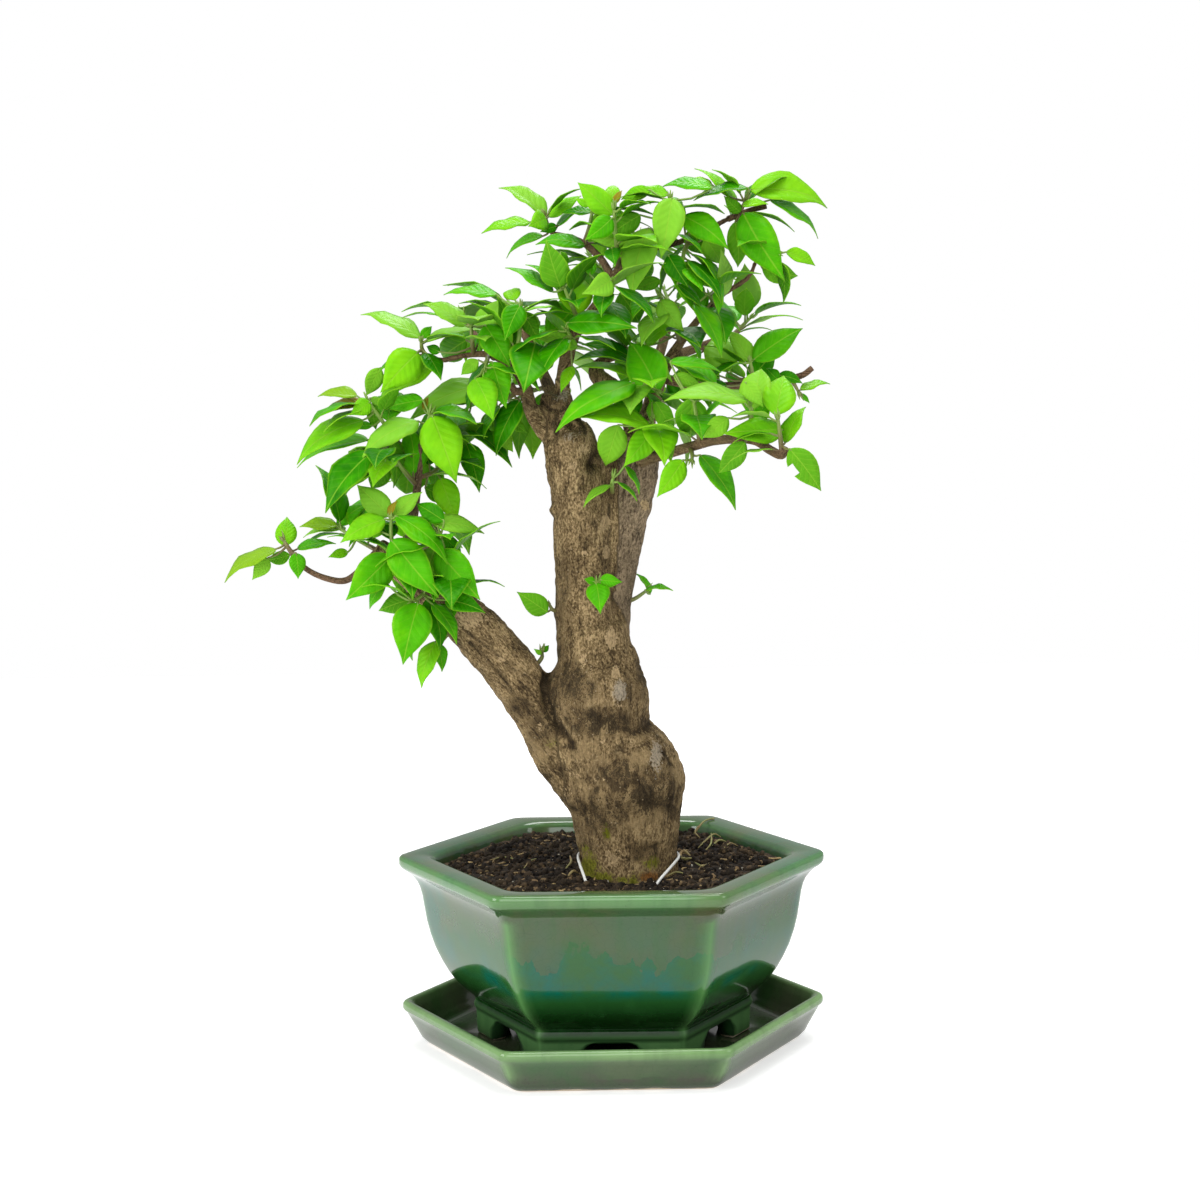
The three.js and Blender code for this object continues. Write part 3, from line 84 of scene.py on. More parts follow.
def place_camera():
    lens = bpy.data.cameras.new("camera")
    lens.sensor_width = SENSOR
    lens.lens = SENSOR * FOCUS / (2 * SHEET_MIDDLE)
    lens.clip_start = NEAREST_SEEN
    camera = bpy.data.objects.new("camera", lens)
    forward = (EYE_TURN @ Vector((0, math.cos(EYE_PITCH), -math.sin(EYE_PITCH)))).normalized()
    middle = sight_line(SHEET_MIDDLE, SHEET_MIDDLE)
    right = (sight_line(SHEET_MIDDLE + 1, SHEET_MIDDLE) - middle).normalized()
    turn = Matrix((right, right.cross(forward), -forward)).transposed().to_4x4()
    camera.matrix_world = Matrix.Translation(EYE) @ turn
    bpy.context.scene.collection.objects.link(camera)
    bpy.context.scene.camera = camera


place_camera()


# The studio: a glowing white floor that runs back into a white surround, as on a light table, with broad
# soft lamps at the sides, above and behind. Shining surfaces and shadows see a dimmer surround and floor.
FLOOR_HALF = 1.6
FLOOR_WHITE = 0.8
FLOOR_GLOW = 0.5
FLOOR_GLOW_LEFT = 0.5
FLOOR_GLOW_RIGHT = 0.05
GLOW_FADES_FROM = -0.2
GLOW_FADES_TO = 0.3
SURROUND_SEEN = 1.0
SURROUND_LIGHT = 0.45
# Each lamp: its name, place, what it is aimed at, the length of its side and its power in watts.
LAMPS = [
    ("lamp_above", (0.1, -0.3, 1.8), (0, 0, 0.3), 0.9, 15),
    ("lamp_left", (-1.5, -0.9, 0.9), (0, 0, 0.25), 0.9, 15),
    ("lamp_right", (1.6, -0.8, 1.0), (0, 0, 0.25), 0.8, 6),
    ("lamp_front", (-0.4, -1.9, 0.8), (0, 0, 0.2), 1.0, 11),
    ("lamp_behind", (0.2, 1.2, 1.9), (0, 0, 0.35), 0.8, 14),
]


def new_material(name):
    material = bpy.data.materials.new(name)
    material.use_nodes = True
    nodes = material.node_tree.nodes
    links = material.node_tree.links
    return material, nodes, links, nodes["Principled BSDF"]


def own_place(nodes):
    """Where a point lies on its own piece, in metres from the piece's origin."""
    return nodes.new("ShaderNodeTexCoord").outputs["Object"]


def parts_of(socket, kind):
    """The three parts of a colour or a place, by a node of the kind that takes it apart."""
    tree = socket.id_data
    split = tree.nodes.new(kind)
    tree.links.new(socket, split.inputs[0])
    return split.outputs


def ranged(value, low, high, start=0.0, end=1.0):
    """A value from low..high stretched to start..end, and held there."""
    tree = value.id_data
    stretch = tree.nodes.new("ShaderNodeMapRange")
    for name, number in (("From Min", low), ("From Max", high), ("To Min", start), ("To Max", end)):
        stretch.inputs[name].default_value = number
    tree.links.new(value, stretch.inputs["Value"])
    return stretch.outputs["Result"]


def mesh_object(name, bm, material):
    """A bmesh as a smooth-shaded object at the origin, with its one material."""
    mesh = bpy.data.meshes.new(name)
    for face in bm.faces:
        face.smooth = True
    bm.to_mesh(mesh)
    bm.free()
    mesh.materials.append(material)
    piece = bpy.data.objects.new(name, mesh)
    bpy.context.scene.collection.objects.link(piece)
    return piece


def lay_floor():
    material, nodes, links, finish = new_material("studio_white")
    finish.inputs["Base Color"].default_value = (FLOOR_WHITE, FLOOR_WHITE, FLOOR_WHITE, 1)
    finish.inputs["Roughness"].default_value = 0.9
    finish.inputs["Specular IOR Level"].default_value = 0
    finish.inputs["Emission Color"].default_value = (1, 1, 1, 1)
    rightward = parts_of(own_place(nodes), "ShaderNodeSeparateXYZ")["X"]
    given = ranged(rightward, GLOW_FADES_FROM, GLOW_FADES_TO, FLOOR_GLOW_LEFT, FLOOR_GLOW_RIGHT)
    glow = nodes.new("ShaderNodeMix")
    glow.inputs["B"].default_value = FLOOR_GLOW
    links.new(nodes.new("ShaderNodeLightPath").outputs["Is Camera Ray"], glow.inputs["Factor"])
    links.new(given, glow.inputs["A"])
    links.new(glow.outputs["Result"], finish.inputs["Emission Strength"])
    bm = bmesh.new()
    bmesh.ops.create_grid(bm, x_segments=1, y_segments=1, size=FLOOR_HALF)
    floor = mesh_object("floor", bm, material)


def soft_lamp(name, place, target, size, power):
    lamp = bpy.data.lights.new(name, "AREA")
    lamp.shape = "SQUARE"
    lamp.size = size
    lamp.energy = power
    carrier = bpy.data.objects.new(name, lamp)
    aim = (Vector(target) - Vector(place)).to_track_quat("-Z", "Y")
    carrier.matrix_world = Matrix.Translation(place) @ aim.to_matrix().to_4x4()
    bpy.context.scene.collection.objects.link(carrier)


def light_studio():
    world = bpy.data.worlds.new("white_surround")
    world.use_nodes = True
    nodes = world.node_tree.nodes
    links = world.node_tree.links
    background = nodes["Background"]
    background.inputs["Color"].default_value = (1, 1, 1, 1)
    looked_at = nodes.new("ShaderNodeLightPath").outputs["Is Camera Ray"]
    links.new(ranged(looked_at, 0, 1, SURROUND_LIGHT, SURROUND_SEEN), background.inputs["Strength"])
    bpy.context.scene.world = world
    for lamp in LAMPS:
        soft_lamp(*lamp)


lay_floor()
light_studio()
bpy.context.scene.view_settings.view_transform = "Standard"


# Saucer and pot: both were cast in moulds and dipped in a green glaze, which runs thin and pale over every
# edge. On the pot the glaze is painted dark low on the wall and milky higher up, partly as painted
# reflection. Their rings are hexagons with softly rounded corners.
CORNER_ANGLES = (-7, -4.2, -2.4, -1.1, 0, 1.1, 2.4, 4.2, 7, 12, 18, 24, 30, 36, 42, 48)
POT_TURN = math.radians(-1.4)
RIM_TOP = 112.1
FOOT_BOTTOM = 6.4
SAUCER_TOP = 26.5
# Each station of a profile: corner radius, height, sharpness of the corners, how thin the glaze is. On the
# pot's lip and foot that last value also holds painted light: it grows towards the lip's top edge, leaving
# the lip's lower half in painted shade, and it lightens the foot's face.
SAUCER_PROFILE = [
    (0.5, 0, 60, 0), (60, 0, 60, 0), (105.5, 0, 60, 0), (108, 0.4, 60, 0), (110.5, 1.9, 60, 0),
    (113.5, 4.8, 60, 0), (117, 11, 60, 0), (120.5, 17, 60, 0), (122, 19.6, 60, 0.1), (123.4, 20.8, 60, 0.3),
    (124.3, 22, 60, 0.6), (124.4, 23.6, 60, 0.8), (124.1, 25, 60, 1), (123.2, 26.1, 60, 1),
    (121.9, SAUCER_TOP, 60, 0.8), (120.2, 26.4, 60, 0.5), (119.3, 25.7, 60, 0.5), (118.6, 24.6, 50, 0.3),
    (117.6, 20, 50, 0.1), (115.6, 13, 50, 0), (113, 8.6, 50, 0), (110.8, 6.6, 50, 0), (107.5, 6, 50, 0),
    (60, 6, 50, 0), (0.5, 6, 50, 0),
]
POT_PROFILE = [
    (0.5, 15.4, 60, 0), (40, 15.4, 60, 0), (67, 15.4, 60, 0), (68.6, 14, 60, 0), (70.2, 8, 60, 0.2),
    (71, FOOT_BOTTOM + 0.4, 60, 0.3), (72, FOOT_BOTTOM, 60, 0.3), (79.5, FOOT_BOTTOM, 60, 0.3),
    (80.5, FOOT_BOTTOM + 0.6, 60, 0.8), (80.8, 12, 60, 0.6), (81, 19, 60, 0.6), (81.2, 20.6, 60, 0.2),
    (81.7, 21.4, 60, 0.1), (82.2, 22.4, 60, 0.35), (82.3, 23.4, 60, 0.3), (82, 24.6, 60, 0.1),
    (81.5, 25.8, 60, 0), (81.3, 27, 60, 0), (83, 29, 60, 0), (87.2, 32.4, 60, 0), (92.3, 37.1, 60, 0),
    (96.8, 42.8, 60, 0), (101, 50.1, 60, 0), (104.6, 57.6, 60, 0), (107.5, 66.1, 60, 0), (109.4, 74, 60, 0),
    (110.7, 82.1, 60, 0), (111.7, 88.6, 60, 0), (113, 93.4, 60, 0), (114.6, 96.8, 60, 0),
    (117, 99.8, 60, 0), (119.8, 102.2, 60, 0), (122.3, 103.8, 60, 0.1), (124, 105.2, 60, 0.45),
    (124.9, 106.8, 60, 0.6), (125, 108.9, 60, 0.65), (124.7, 110.7, 60, 0.8), (123.6, 111.8, 60, 0.55),
    (122, RIM_TOP, 60, 0.35), (116, RIM_TOP - 0.1, 60, 0.3), (110, RIM_TOP - 0.4, 40, 0.3),
    (107.6, RIM_TOP - 1, 30, 0.3), (106.2, RIM_TOP - 2, 24, 0.55), (105.3, RIM_TOP - 3.6, 22, 0.2),
    (104.6, RIM_TOP - 10, 22, 0), (104, RIM_TOP - 18, 22, 0), (101, RIM_TOP - 40, 24, 0),
    (95, RIM_TOP - 57, 30, 0), (84, RIM_TOP - 70, 30, 0), (70, RIM_TOP - 80, 30, 0),
    (40, RIM_TOP - 87, 30, 0), (0.5, RIM_TOP - 87, 30, 0),
]
# The arch that is cut through each side of the pot's foot: across and up from the middle of its sill.
ARCH_OUTLINE = [
    (-19, -2), (19, -2), (18, 4.3), (16.4, 8.4), (13.6, 11.6), (11, 13), (-11, 13), (-13.6, 11.6),
    (-16.4, 8.4), (-18, 4.3),
]
ARCH_NEAR = 51
ARCH_FAR = 75
DRAIN_RADIUS = 9
DRAIN_DEPTH = 40
DRAIN_MIDDLE = 15
FLAT_TO_CORNER = math.cos(math.pi / 6)
# Where the glaze runs thin down the upright corners: heights, least corner radius, strength, falling off.
WALL_FROM = 6
WALL_TO = 95
WALL_CORNER = 79
CORNER_THIN = 0.8
CORNER_FALL = 1.8
CORNER_SPREAD = 4


def hexagon_reach(angle, sharpness):
    """How far a rounded hexagon with its sides 1 from the middle reaches at an angle from a corner."""
    total = 0
    for side in range(6):
        lean = math.cos(angle - math.radians(30 + 60 * side))
        total += max(lean, 0) ** sharpness
    return total ** (-1 / sharpness)


def next_ring(bm, ring):
    """The ring of corners that an open rim is extruded to, in the same order."""
    members = set(ring)
    rim = {edge for vert in ring for edge in vert.link_edges if edge.other_vert(vert) in members}
    rim = [edge for edge in rim if len(edge.link_faces) < 2]
    made = bmesh.ops.extrude_edge_only(bm, edges=rim)["geom"]
    by_place = {vert.co.to_tuple(8): vert for vert in made if isinstance(vert, bmesh.types.BMVert)}
    return [by_place[vert.co.to_tuple(8)] for vert in ring]


def close_rims(bm):
    bmesh.ops.holes_fill(bm, edges=[edge for edge in bm.edges if edge.is_boundary], sides=0)
    bmesh.ops.recalc_face_normals(bm, faces=bm.faces)


def cast_hexagon(profile, turn):
    """A hexagonal casting as a bmesh, with the thin glaze of its edges, and on the pot's lip and foot
    painted light and shade, in the layer 'thin'.
    """
    angles = [math.radians(60 * corner + step) for corner in range(6) for step in CORNER_ANGLES]
    bm = bmesh.new()
    thin = bm.verts.layers.float.new("thin")
    made = bmesh.ops.create_circle(bm, segments=len(angles), radius=1)
    ring = made["verts"]
    for index, (corner, height, sharpness, thinness_and_light) in enumerate(profile):
        if index:
            ring = next_ring(bm, ring)
        side = corner * FLAT_TO_CORNER / 1000
        for vert, angle in zip(ring, angles):
            reach = side * hexagon_reach(angle, sharpness)
            vert.co = (reach * math.cos(angle + turn), reach * math.sin(angle + turn), height / 1000)
            near_corner = max(0, 1 - abs((math.degrees(angle) + 30) % 60 - 30) / CORNER_SPREAD)
            on_wall = corner > WALL_CORNER and WALL_FROM < height < WALL_TO
            vert[thin] = max(thinness_and_light, CORNER_THIN * near_corner**CORNER_FALL if on_wall else 0)
    close_rims(bm)
    return bm


def mixed(factor, first, second):
    """A colour mix. Each colour is a socket or a plain (r, g, b)."""
    tree = factor.id_data
    mix = tree.nodes.new("ShaderNodeMix")
    mix.data_type = "RGBA"
    tree.links.new(factor, mix.inputs["Factor"])
    for socket, colour in ((mix.inputs[6], first), (mix.inputs[7], second)):
        if isinstance(colour, tuple):
            socket.default_value = (*colour, 1)
        else:
            tree.links.new(colour, socket)
    return mix.outputs[2]


def combined(operation, first, second=0.0):
    """Two values, or a value and a number, through one sum."""
    tree = first.id_data
    sum_node = tree.nodes.new("ShaderNodeMath")
    sum_node.operation = operation
    tree.links.new(first, sum_node.inputs[0])
    if isinstance(second, (int, float)):
        sum_node.inputs[1].default_value = second
    else:
        tree.links.new(second, sum_node.inputs[1])
    return sum_node.outputs["Value"]


def plus(first, second):
    return combined("ADD", first, second)


def times(first, second):
    return combined("MULTIPLY", first, second)


def noise_field(place, scale, detail=2.0, roughness=0.5, stretch=1.0, distortion=0.0):
    """A slow wandering value. A small stretch draws its grains out along Z."""
    tree = place.id_data
    squeeze = tree.nodes.new("ShaderNodeMapping")
    squeeze.inputs["Scale"].default_value = (1, 1, stretch)
    tree.links.new(place, squeeze.inputs["Vector"])
    field = tree.nodes.new("ShaderNodeTexNoise")
    field.inputs["Scale"].default_value = scale
    field.inputs["Detail"].default_value = detail
    field.inputs["Roughness"].default_value = roughness
    field.inputs["Distortion"].default_value = distortion
    tree.links.new(squeeze.outputs["Vector"], field.inputs["Vector"])
    return field.outputs["Fac"]


def attribute(nodes, name):
    layer = nodes.new("ShaderNodeAttribute")
    layer.attribute_name = name
    return layer.outputs


def bumped(finish, height, strength, distance):
    """Lets a pattern of heights tilt the light on a finish. The distance is in metres."""
    tree = height.id_data
    bump = tree.nodes.new("ShaderNodeBump")
    bump.inputs["Strength"].default_value = strength
    bump.inputs["Distance"].default_value = distance
    tree.links.new(height, bump.inputs["Height"])
    tree.links.new(bump.outputs["Normal"], finish.inputs["Normal"])


def glaze_group():
    """Masks of a crackled glaze: crackle lines, slow clouds of colour, ragged coasts, streaks, pin marks."""
    group = bpy.data.node_groups.new("crackled_glaze", "ShaderNodeTree")
    group.interface.new_socket("Cell Size", in_out="INPUT", socket_type="NodeSocketFloat")
    for name in ("Crackle", "Clouds", "Coast", "Streaks", "Pins"):
        group.interface.new_socket(name, in_out="OUTPUT", socket_type="NodeSocketFloat")
    nodes = group.nodes
    links = group.links
    entry = nodes.new("NodeGroupInput")
    leaving = nodes.new("NodeGroupOutput")
    place = own_place(nodes)
    cells = nodes.new("ShaderNodeTexVoronoi")
    cells.feature = "DISTANCE_TO_EDGE"
    links.new(place, cells.inputs["Vector"])
    links.new(entry.outputs["Cell Size"], cells.inputs["Scale"])
    links.new(ranged(cells.outputs["Distance"], 0, CRACKLE_WIDTH, 1, 0), leaving.inputs["Crackle"])
    links.new(noise_field(place, 16, 4), leaving.inputs["Clouds"])
    links.new(noise_field(place, 31, 7, 0.55), leaving.inputs["Coast"])
    links.new(noise_field(place, 120, 3, 0.5, 0.12), leaving.inputs["Streaks"])
    links.new(noise_field(place, 900, 1), leaving.inputs["Pins"])
    return group


# Linear colours and heights in metres. The glaze darkens below the tide, has two middle tints over it and a
# milky bloom of two tints above the shore, which swings up and down. On the pot the dark below the tide is
# partly painted reflection of the saucer's dark inside, and the milky bloom is partly painted reflection of
# the bright floor. Bare clay shows at the sill.
CRACKLE_WIDTH = 0.035
CRACKLE_CELLS = 240
CRACKLE_COLOUR = (0.01, 0.03, 0.012)
PIN_COLOUR = (0.02, 0.02, 0.012)
BARE_CLAY = (0.55, 0.46, 0.34)
GLOSS_ROUGHNESS = 0.09
DULL_ROUGHNESS = 0.55
# How far out to the sides the milky bloom, partly painted reflection, begins and ends to turn teal, and how
# much of it does.
TEAL_FROM = 0.06
TEAL_TO = 0.1
TEAL_LEAST = 0.15
TEAL_MOST = 0.7
SAUCER_GLAZE = {
    "deep": (0.03, 0.024, 0.016), "middle": ((0.035, 0.08, 0.025), (0.06, 0.06, 0.04)),
    "bloom_and_reflection": ((0.04, 0.115, 0.035), (0.07, 0.11, 0.042)), "lip": (0.2, 0.36, 0.13),
    "tide": 0.0015, "shore": 0.0085, "swing": 0.006, "bare_height": 0.0015, "dull_height": 0.0015,
}
POT_GLAZE = {
    "deep": (0.003, 0.03, 0.003), "middle": ((0.02, 0.1, 0.022), (0, 0.105, 0.068)),
    "bloom_and_reflection": ((0.092, 0.082, 0.042), (0.055, 0.1, 0.038)), "lip": (0.115, 0.29, 0.085),
    "tide": 0.047, "shore": 0.07, "swing": 0.036, "bare_height": 0.0078, "dull_height": 0.027,
}
CRACKLED_GLAZE = glaze_group()


def glaze_material(name, deep, middle, bloom_and_reflection, lip, tide, shore, swing, bare_height, dull_height):
    material, nodes, links, finish = new_material(name)
    masks = nodes.new("ShaderNodeGroup")
    masks.node_tree = CRACKLED_GLAZE
    masks.inputs["Cell Size"].default_value = CRACKLE_CELLS
    place = parts_of(own_place(nodes), "ShaderNodeSeparateXYZ")
    height = place["Z"]
    coast = ranged(masks.outputs["Coast"], 0.25, 0.75, -0.5, 0.5)
    cloud = ranged(masks.outputs["Clouds"], 0.3, 0.7)
    streak = ranged(masks.outputs["Streaks"], 0.3, 0.7, -0.5, 0.5)
    blotch = times(ranged(masks.outputs["Coast"], 0.4, 0.6), ranged(height, tide, tide + 0.006))
    body = mixed(blotch, *middle)
    # Painted reflection, in part: the colour darkens below the tide, on the pot for the reflection of the
    # saucer's dark inside.
    body = mixed(ranged(height, tide - 0.012, tide + 0.007), deep, body)
    tealness = ranged(combined("ABSOLUTE", place["X"]), TEAL_FROM, TEAL_TO, TEAL_LEAST, TEAL_MOST)
    tealness = times(tealness, ranged(masks.outputs["Coast"], 0.42, 0.58))
    # The milky bloom: on the pot, partly painted reflection of the bright floor.
    milky = mixed(tealness, mixed(cloud, *bloom_and_reflection), middle[1])
    reach = plus(height, times(plus(coast, times(streak, 0.3)), swing))
    crisp = times(
        ranged(reach, shore, shore + 0.0012, 0, 0.8), ranged(masks.outputs["Clouds"], 0.45, 0.55, 0.2, 1)
    )
    body = mixed(crisp, body, milky)
    body = mixed(ranged(reach, shore, shore + 0.03), body, milky)
    body = mixed(ranged(streak, 0, 0.5, 0, 0.35), body, middle[0])
    body = mixed(times(masks.outputs["Crackle"], 0.22), body, CRACKLE_COLOUR)
    # The pale edge colour follows the layer 'thin': thin glaze over edges, and on the pot's lip and foot
    # also painted light and shade.
    edge = times(attribute(nodes, "thin")["Fac"], ranged(cloud, 0, 1, 0.7, 1))
    body = mixed(times(edge, ranged(streak, 0, 0.5, 1, 0.7)), body, lip)
    dirty = ranged(height, 0.002, 0.011, 0.12, 0)
    pins = ranged(plus(masks.outputs["Pins"], dirty), 0.76, 0.8, 0, 0.6)
    body = mixed(pins, body, PIN_COLOUR)
    rough_sill = plus(height, times(coast, 0.003))
    bare = ranged(rough_sill, bare_height, bare_height - 0.0005)
    links.new(mixed(bare, body, BARE_CLAY), finish.inputs["Base Color"])
    dull = combined("MAXIMUM", bare, ranged(height, dull_height, dull_height - 0.002))
    links.new(ranged(dull, 0, 1, GLOSS_ROUGHNESS, DULL_ROUGHNESS), finish.inputs["Roughness"])
    finish.inputs["IOR"].default_value = 1.5
    bumped(finish, cloud, 0.16, 0.0008)
    return material


def carve(piece, cutters):
    """Takes every cutter out of a piece, and keeps the piece a plain mesh."""
    for cutter in cutters:
        cut = piece.modifiers.new("cut", "BOOLEAN")
        cut.operation = "DIFFERENCE"
        cut.solver = "EXACT"
        cut.object = cutter
    graph = bpy.context.evaluated_depsgraph_get()
    shaped = bpy.data.meshes.new_from_object(piece.evaluated_get(graph))
    piece.modifiers.clear()
    plain = piece.data
    piece.data = shaped
    bpy.data.meshes.remove(plain)
    for cutter in cutters:
        bpy.data.objects.remove(cutter)


def arch_cutter(side, material):
    """A prism of the arch's outline, through one side of the foot ring."""
    bm = bmesh.new()
    outline = [bm.verts.new((x / 1000, -ARCH_FAR / 1000, (FOOT_BOTTOM + z) / 1000)) for x, z in ARCH_OUTLINE]
    face = bm.faces.new(outline)
    moved = bmesh.ops.extrude_face_region(bm, geom=[face])["geom"]
    moved = [item for item in moved if isinstance(item, bmesh.types.BMVert)]
    bmesh.ops.translate(bm, verts=moved, vec=(0, (ARCH_FAR - ARCH_NEAR) / 1000, 0))
    turn = Matrix.Rotation(POT_TURN + math.radians(60 * side), 3, "Z")
    bmesh.ops.rotate(bm, verts=bm.verts, matrix=turn)
    bmesh.ops.recalc_face_normals(bm, faces=bm.faces)
    return mesh_object("arch_cutter", bm, material)


def make_pot_and_saucer():
    saucer_glaze = glaze_material("saucer_glaze", **SAUCER_GLAZE)
    pot_glaze = glaze_material("pot_glaze", **POT_GLAZE)
    saucer = mesh_object("saucer_glazed", cast_hexagon(SAUCER_PROFILE, 0), saucer_glaze)
    pot = mesh_object("pot_glazed", cast_hexagon(POT_PROFILE, POT_TURN), pot_glaze)
    drain = bmesh.new()
    radius = DRAIN_RADIUS / 1000
    bmesh.ops.create_cone(
        drain, cap_ends=True, segments=32, radius1=radius, radius2=radius, depth=DRAIN_DEPTH / 1000
    )
    bmesh.ops.translate(drain, verts=drain.verts, vec=(0, 0, DRAIN_MIDDLE / 1000))
    cutters = [arch_cutter(side, pot_glaze) for side in range(6)]
    carve(pot, [*cutters, mesh_object("drain_cutter", drain, pot_glaze)])
    for piece, node in ((saucer, "saucer"), (pot, "pot")):
        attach(piece, "root")
        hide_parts(node)


make_pot_and_saucer()


# Drainage mesh: black plastic netting that lies loose over the hole in the pot's floor, under the soil.
# It keeps its solid's shape and only gets its finish.
def finish_netting():
    material, nodes, links, finish = new_material("netting_black")
    finish.inputs["Base Color"].default_value = (0.02, 0.02, 0.022, 1)
    finish.inputs["Roughness"].default_value = 0.55
    bumped(finish, noise_field(own_place(nodes), 900), 0.2, 0.0002)
    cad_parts["drainage_mesh"].data.materials[0] = material


finish_netting()


# Soil: dark crumbly potting mix, filled to just under the pot's lip and banked up towards it. Its top is
# a lumpy skin, strewn with crumbs, short bits of straw, pale grains and fallen strands. Values in mm.
SOIL_LEVEL = 103
SOIL_CORNER = 104.2
SOIL_LOWER = [(103.2, 99), (103, 93.6), (100.2, 71.6), (83, 42.1), (69, 32.7), (39.6, 27.5), (0.5, 27.5)]
SOIL_SIDES = 168
SOIL_RINGS = 62
# How many, the least and the greatest size, how flat.
CRUMBS = (3200, 0.5, 3.1, 0.75)
GRAINS = (60, 0.4, 1.6, 0.8)
STRAWS = 80
SHORTEST_STRAW = 3
LONGEST_STRAW = 16
STRAW_RADIUS = (0.25, 0.6)
CRUMB_SUNK = 0.25
# Rise and span of the soil's slow swell, of its two sizes of lump and of its finest ones.
SOIL_SWELL = (1.5, 31)
BIG_LUMPS = (1.5, 8.5)
SMALL_LUMPS = (1.1, 4.1)
FINE_LUMPS = (0.75, 1.9)
# The soil is heaped round the trunk by the one rise, and banked up by the other towards the rim. The
# spread in square metres and the start of the bank in metres count from the trunk.
MOUND_RISE = 3.2
MOUND_SPREAD = 0.0028
SOIL_BANK = 4
BANK_FROM = 0.035
LUMPS_SUNK = 1.2
SOIL_SHARPNESS = 24
# Loose bits lie within this reach of the middle, and this far from the trunk's own middle, in metres.
STREWN_REACH = 0.098
STREWN_DEPTH = 0.086
CLEAR_OF_TRUNK = 0.029
LITTER_LIFT = 0.001
STEM_RADIUS = 0.0006
TRUNK_FOOT = plot(631, 875, -18)
# Strands on the soil: sheet place and lift in mm, then the radius in mm.
LITTER = [
    ([(698, 848, 0), (706, 840, 2), (714, 834, 3), (722, 838, 0)], 0.55),
    ([(704, 852, 0), (711, 843, 3), (711, 833, 5)], 0.5),
    ([(712, 846, 0), (719, 840, 2), (727, 842, 0)], 0.6),
    ([(722, 850, 0), (730, 843, 2), (738, 846, 0)], 0.4),
    ([(700, 838, 0), (695, 832, 3), (698, 826, 4)], 0.4),
    ([(690, 856, 1), (684, 851, 3), (680, 855, 2), (684, 859, 1), (691, 858, 1)], 1.1),
    ([(694, 862, 0), (702, 866, 1), (709, 863, 0)], 0.5),
    ([(667, 876, 0), (676, 872, 1), (686, 874, 0)], 0.5),
    ([(566, 868, 1), (571, 862, 3), (570, 856, 3)], 0.7),
    ([(568, 876, 0), (573, 871, 2), (578, 873, 0)], 0.8),
    ([(490, 860, 0), (503, 857, 1), (516, 859, 0)], 0.4),
    ([(524, 868, 0), (530, 861, 1), (539, 858, 0)], 0.4),
]
STEM_FOOT = (694, 834)
RIM_STEM = [(702, 823), (708, 819.5), (714, 818.5)]
SOIL_SEED = 7
FULL_TURN = 6.3
# Linear colours of the earth and of its crumbs.
EARTH_DAMP = (0.009, 0.006, 0.004)
EARTH_BROWN = (0.05, 0.034, 0.018)
CRUMB_BLACK = (0.006, 0.004, 0.003)
CRUMB_BROWN = (0.085, 0.055, 0.03)
CRUMB_STRAW = (0.24, 0.16, 0.08)


def seeded(seed):
    """Repeatable numbers from 0 to 1."""
    state = seed
    while True:
        state = (state * 1664525 + 1013904223) % 4294967296
        yield state / 4294967296


def drawn(draw, low, high):
    """The next of the random numbers, stretched to this range."""
    return low + (high - low) * next(draw)


def held(value):
    """A value kept between 0 and 1."""
    return min(max(value, 0), 1)


def soil_height(x, y):
    """Lumps of several sizes over a slow swell, in metres."""
    place = Vector((x, y, 0.0)) * 1000
    swell = SOIL_SWELL[0] * noise.noise(place / SOIL_SWELL[1] + Vector((0, 0, 4)))
    lumps = BIG_LUMPS[0] * abs(noise.noise(place / BIG_LUMPS[1]))
    lumps += SMALL_LUMPS[0] * abs(noise.noise(place / SMALL_LUMPS[1] + Vector((9, 0, 0))))
    fine = FINE_LUMPS[0] * noise.noise(place / FINE_LUMPS[1] + Vector((0, 5, 0)))
    away = math.hypot(x - TRUNK_FOOT.x, y - TRUNK_FOOT.y)
    mound = MOUND_RISE * math.exp(-(away**2) / MOUND_SPREAD)
    bank = SOIL_BANK * held((away - BANK_FROM) / BANK_FROM)
    return (SOIL_LEVEL - LUMPS_SUNK + swell + lumps + fine + mound + bank) / 1000


def soil_material():
    """Dark earth, damp in places, each crumb of its own brown, with a few straw-coloured flecks."""
    material, nodes, links, finish = new_material("potting_soil")
    place = own_place(nodes)
    crumbs = nodes.new("ShaderNodeTexVoronoi")
    crumbs.inputs["Scale"].default_value = 420
    links.new(place, crumbs.inputs["Vector"])
    chance = parts_of(crumbs.outputs["Color"], "ShaderNodeSeparateColor")
    body = mixed(ranged(noise_field(place, 45, 6), 0.35, 0.65), EARTH_DAMP, EARTH_BROWN)
    body = mixed(ranged(chance["Green"], 0.1, 0.9, 0, 0.75), body, CRUMB_BLACK)
    body = mixed(ranged(chance["Blue"], 0.75, 1, 0, 0.8), body, CRUMB_BROWN)
    body = mixed(ranged(chance["Red"], 0.93, 1.0, 0, 0.8), body, CRUMB_STRAW)
    links.new(body, finish.inputs["Base Color"])
    finish.inputs["Roughness"].default_value = 0.92
    finish.inputs["Specular IOR Level"].default_value = 0.25
    bumped(finish, noise_field(place, 700, 3), 0.7, 0.0008)
    return material


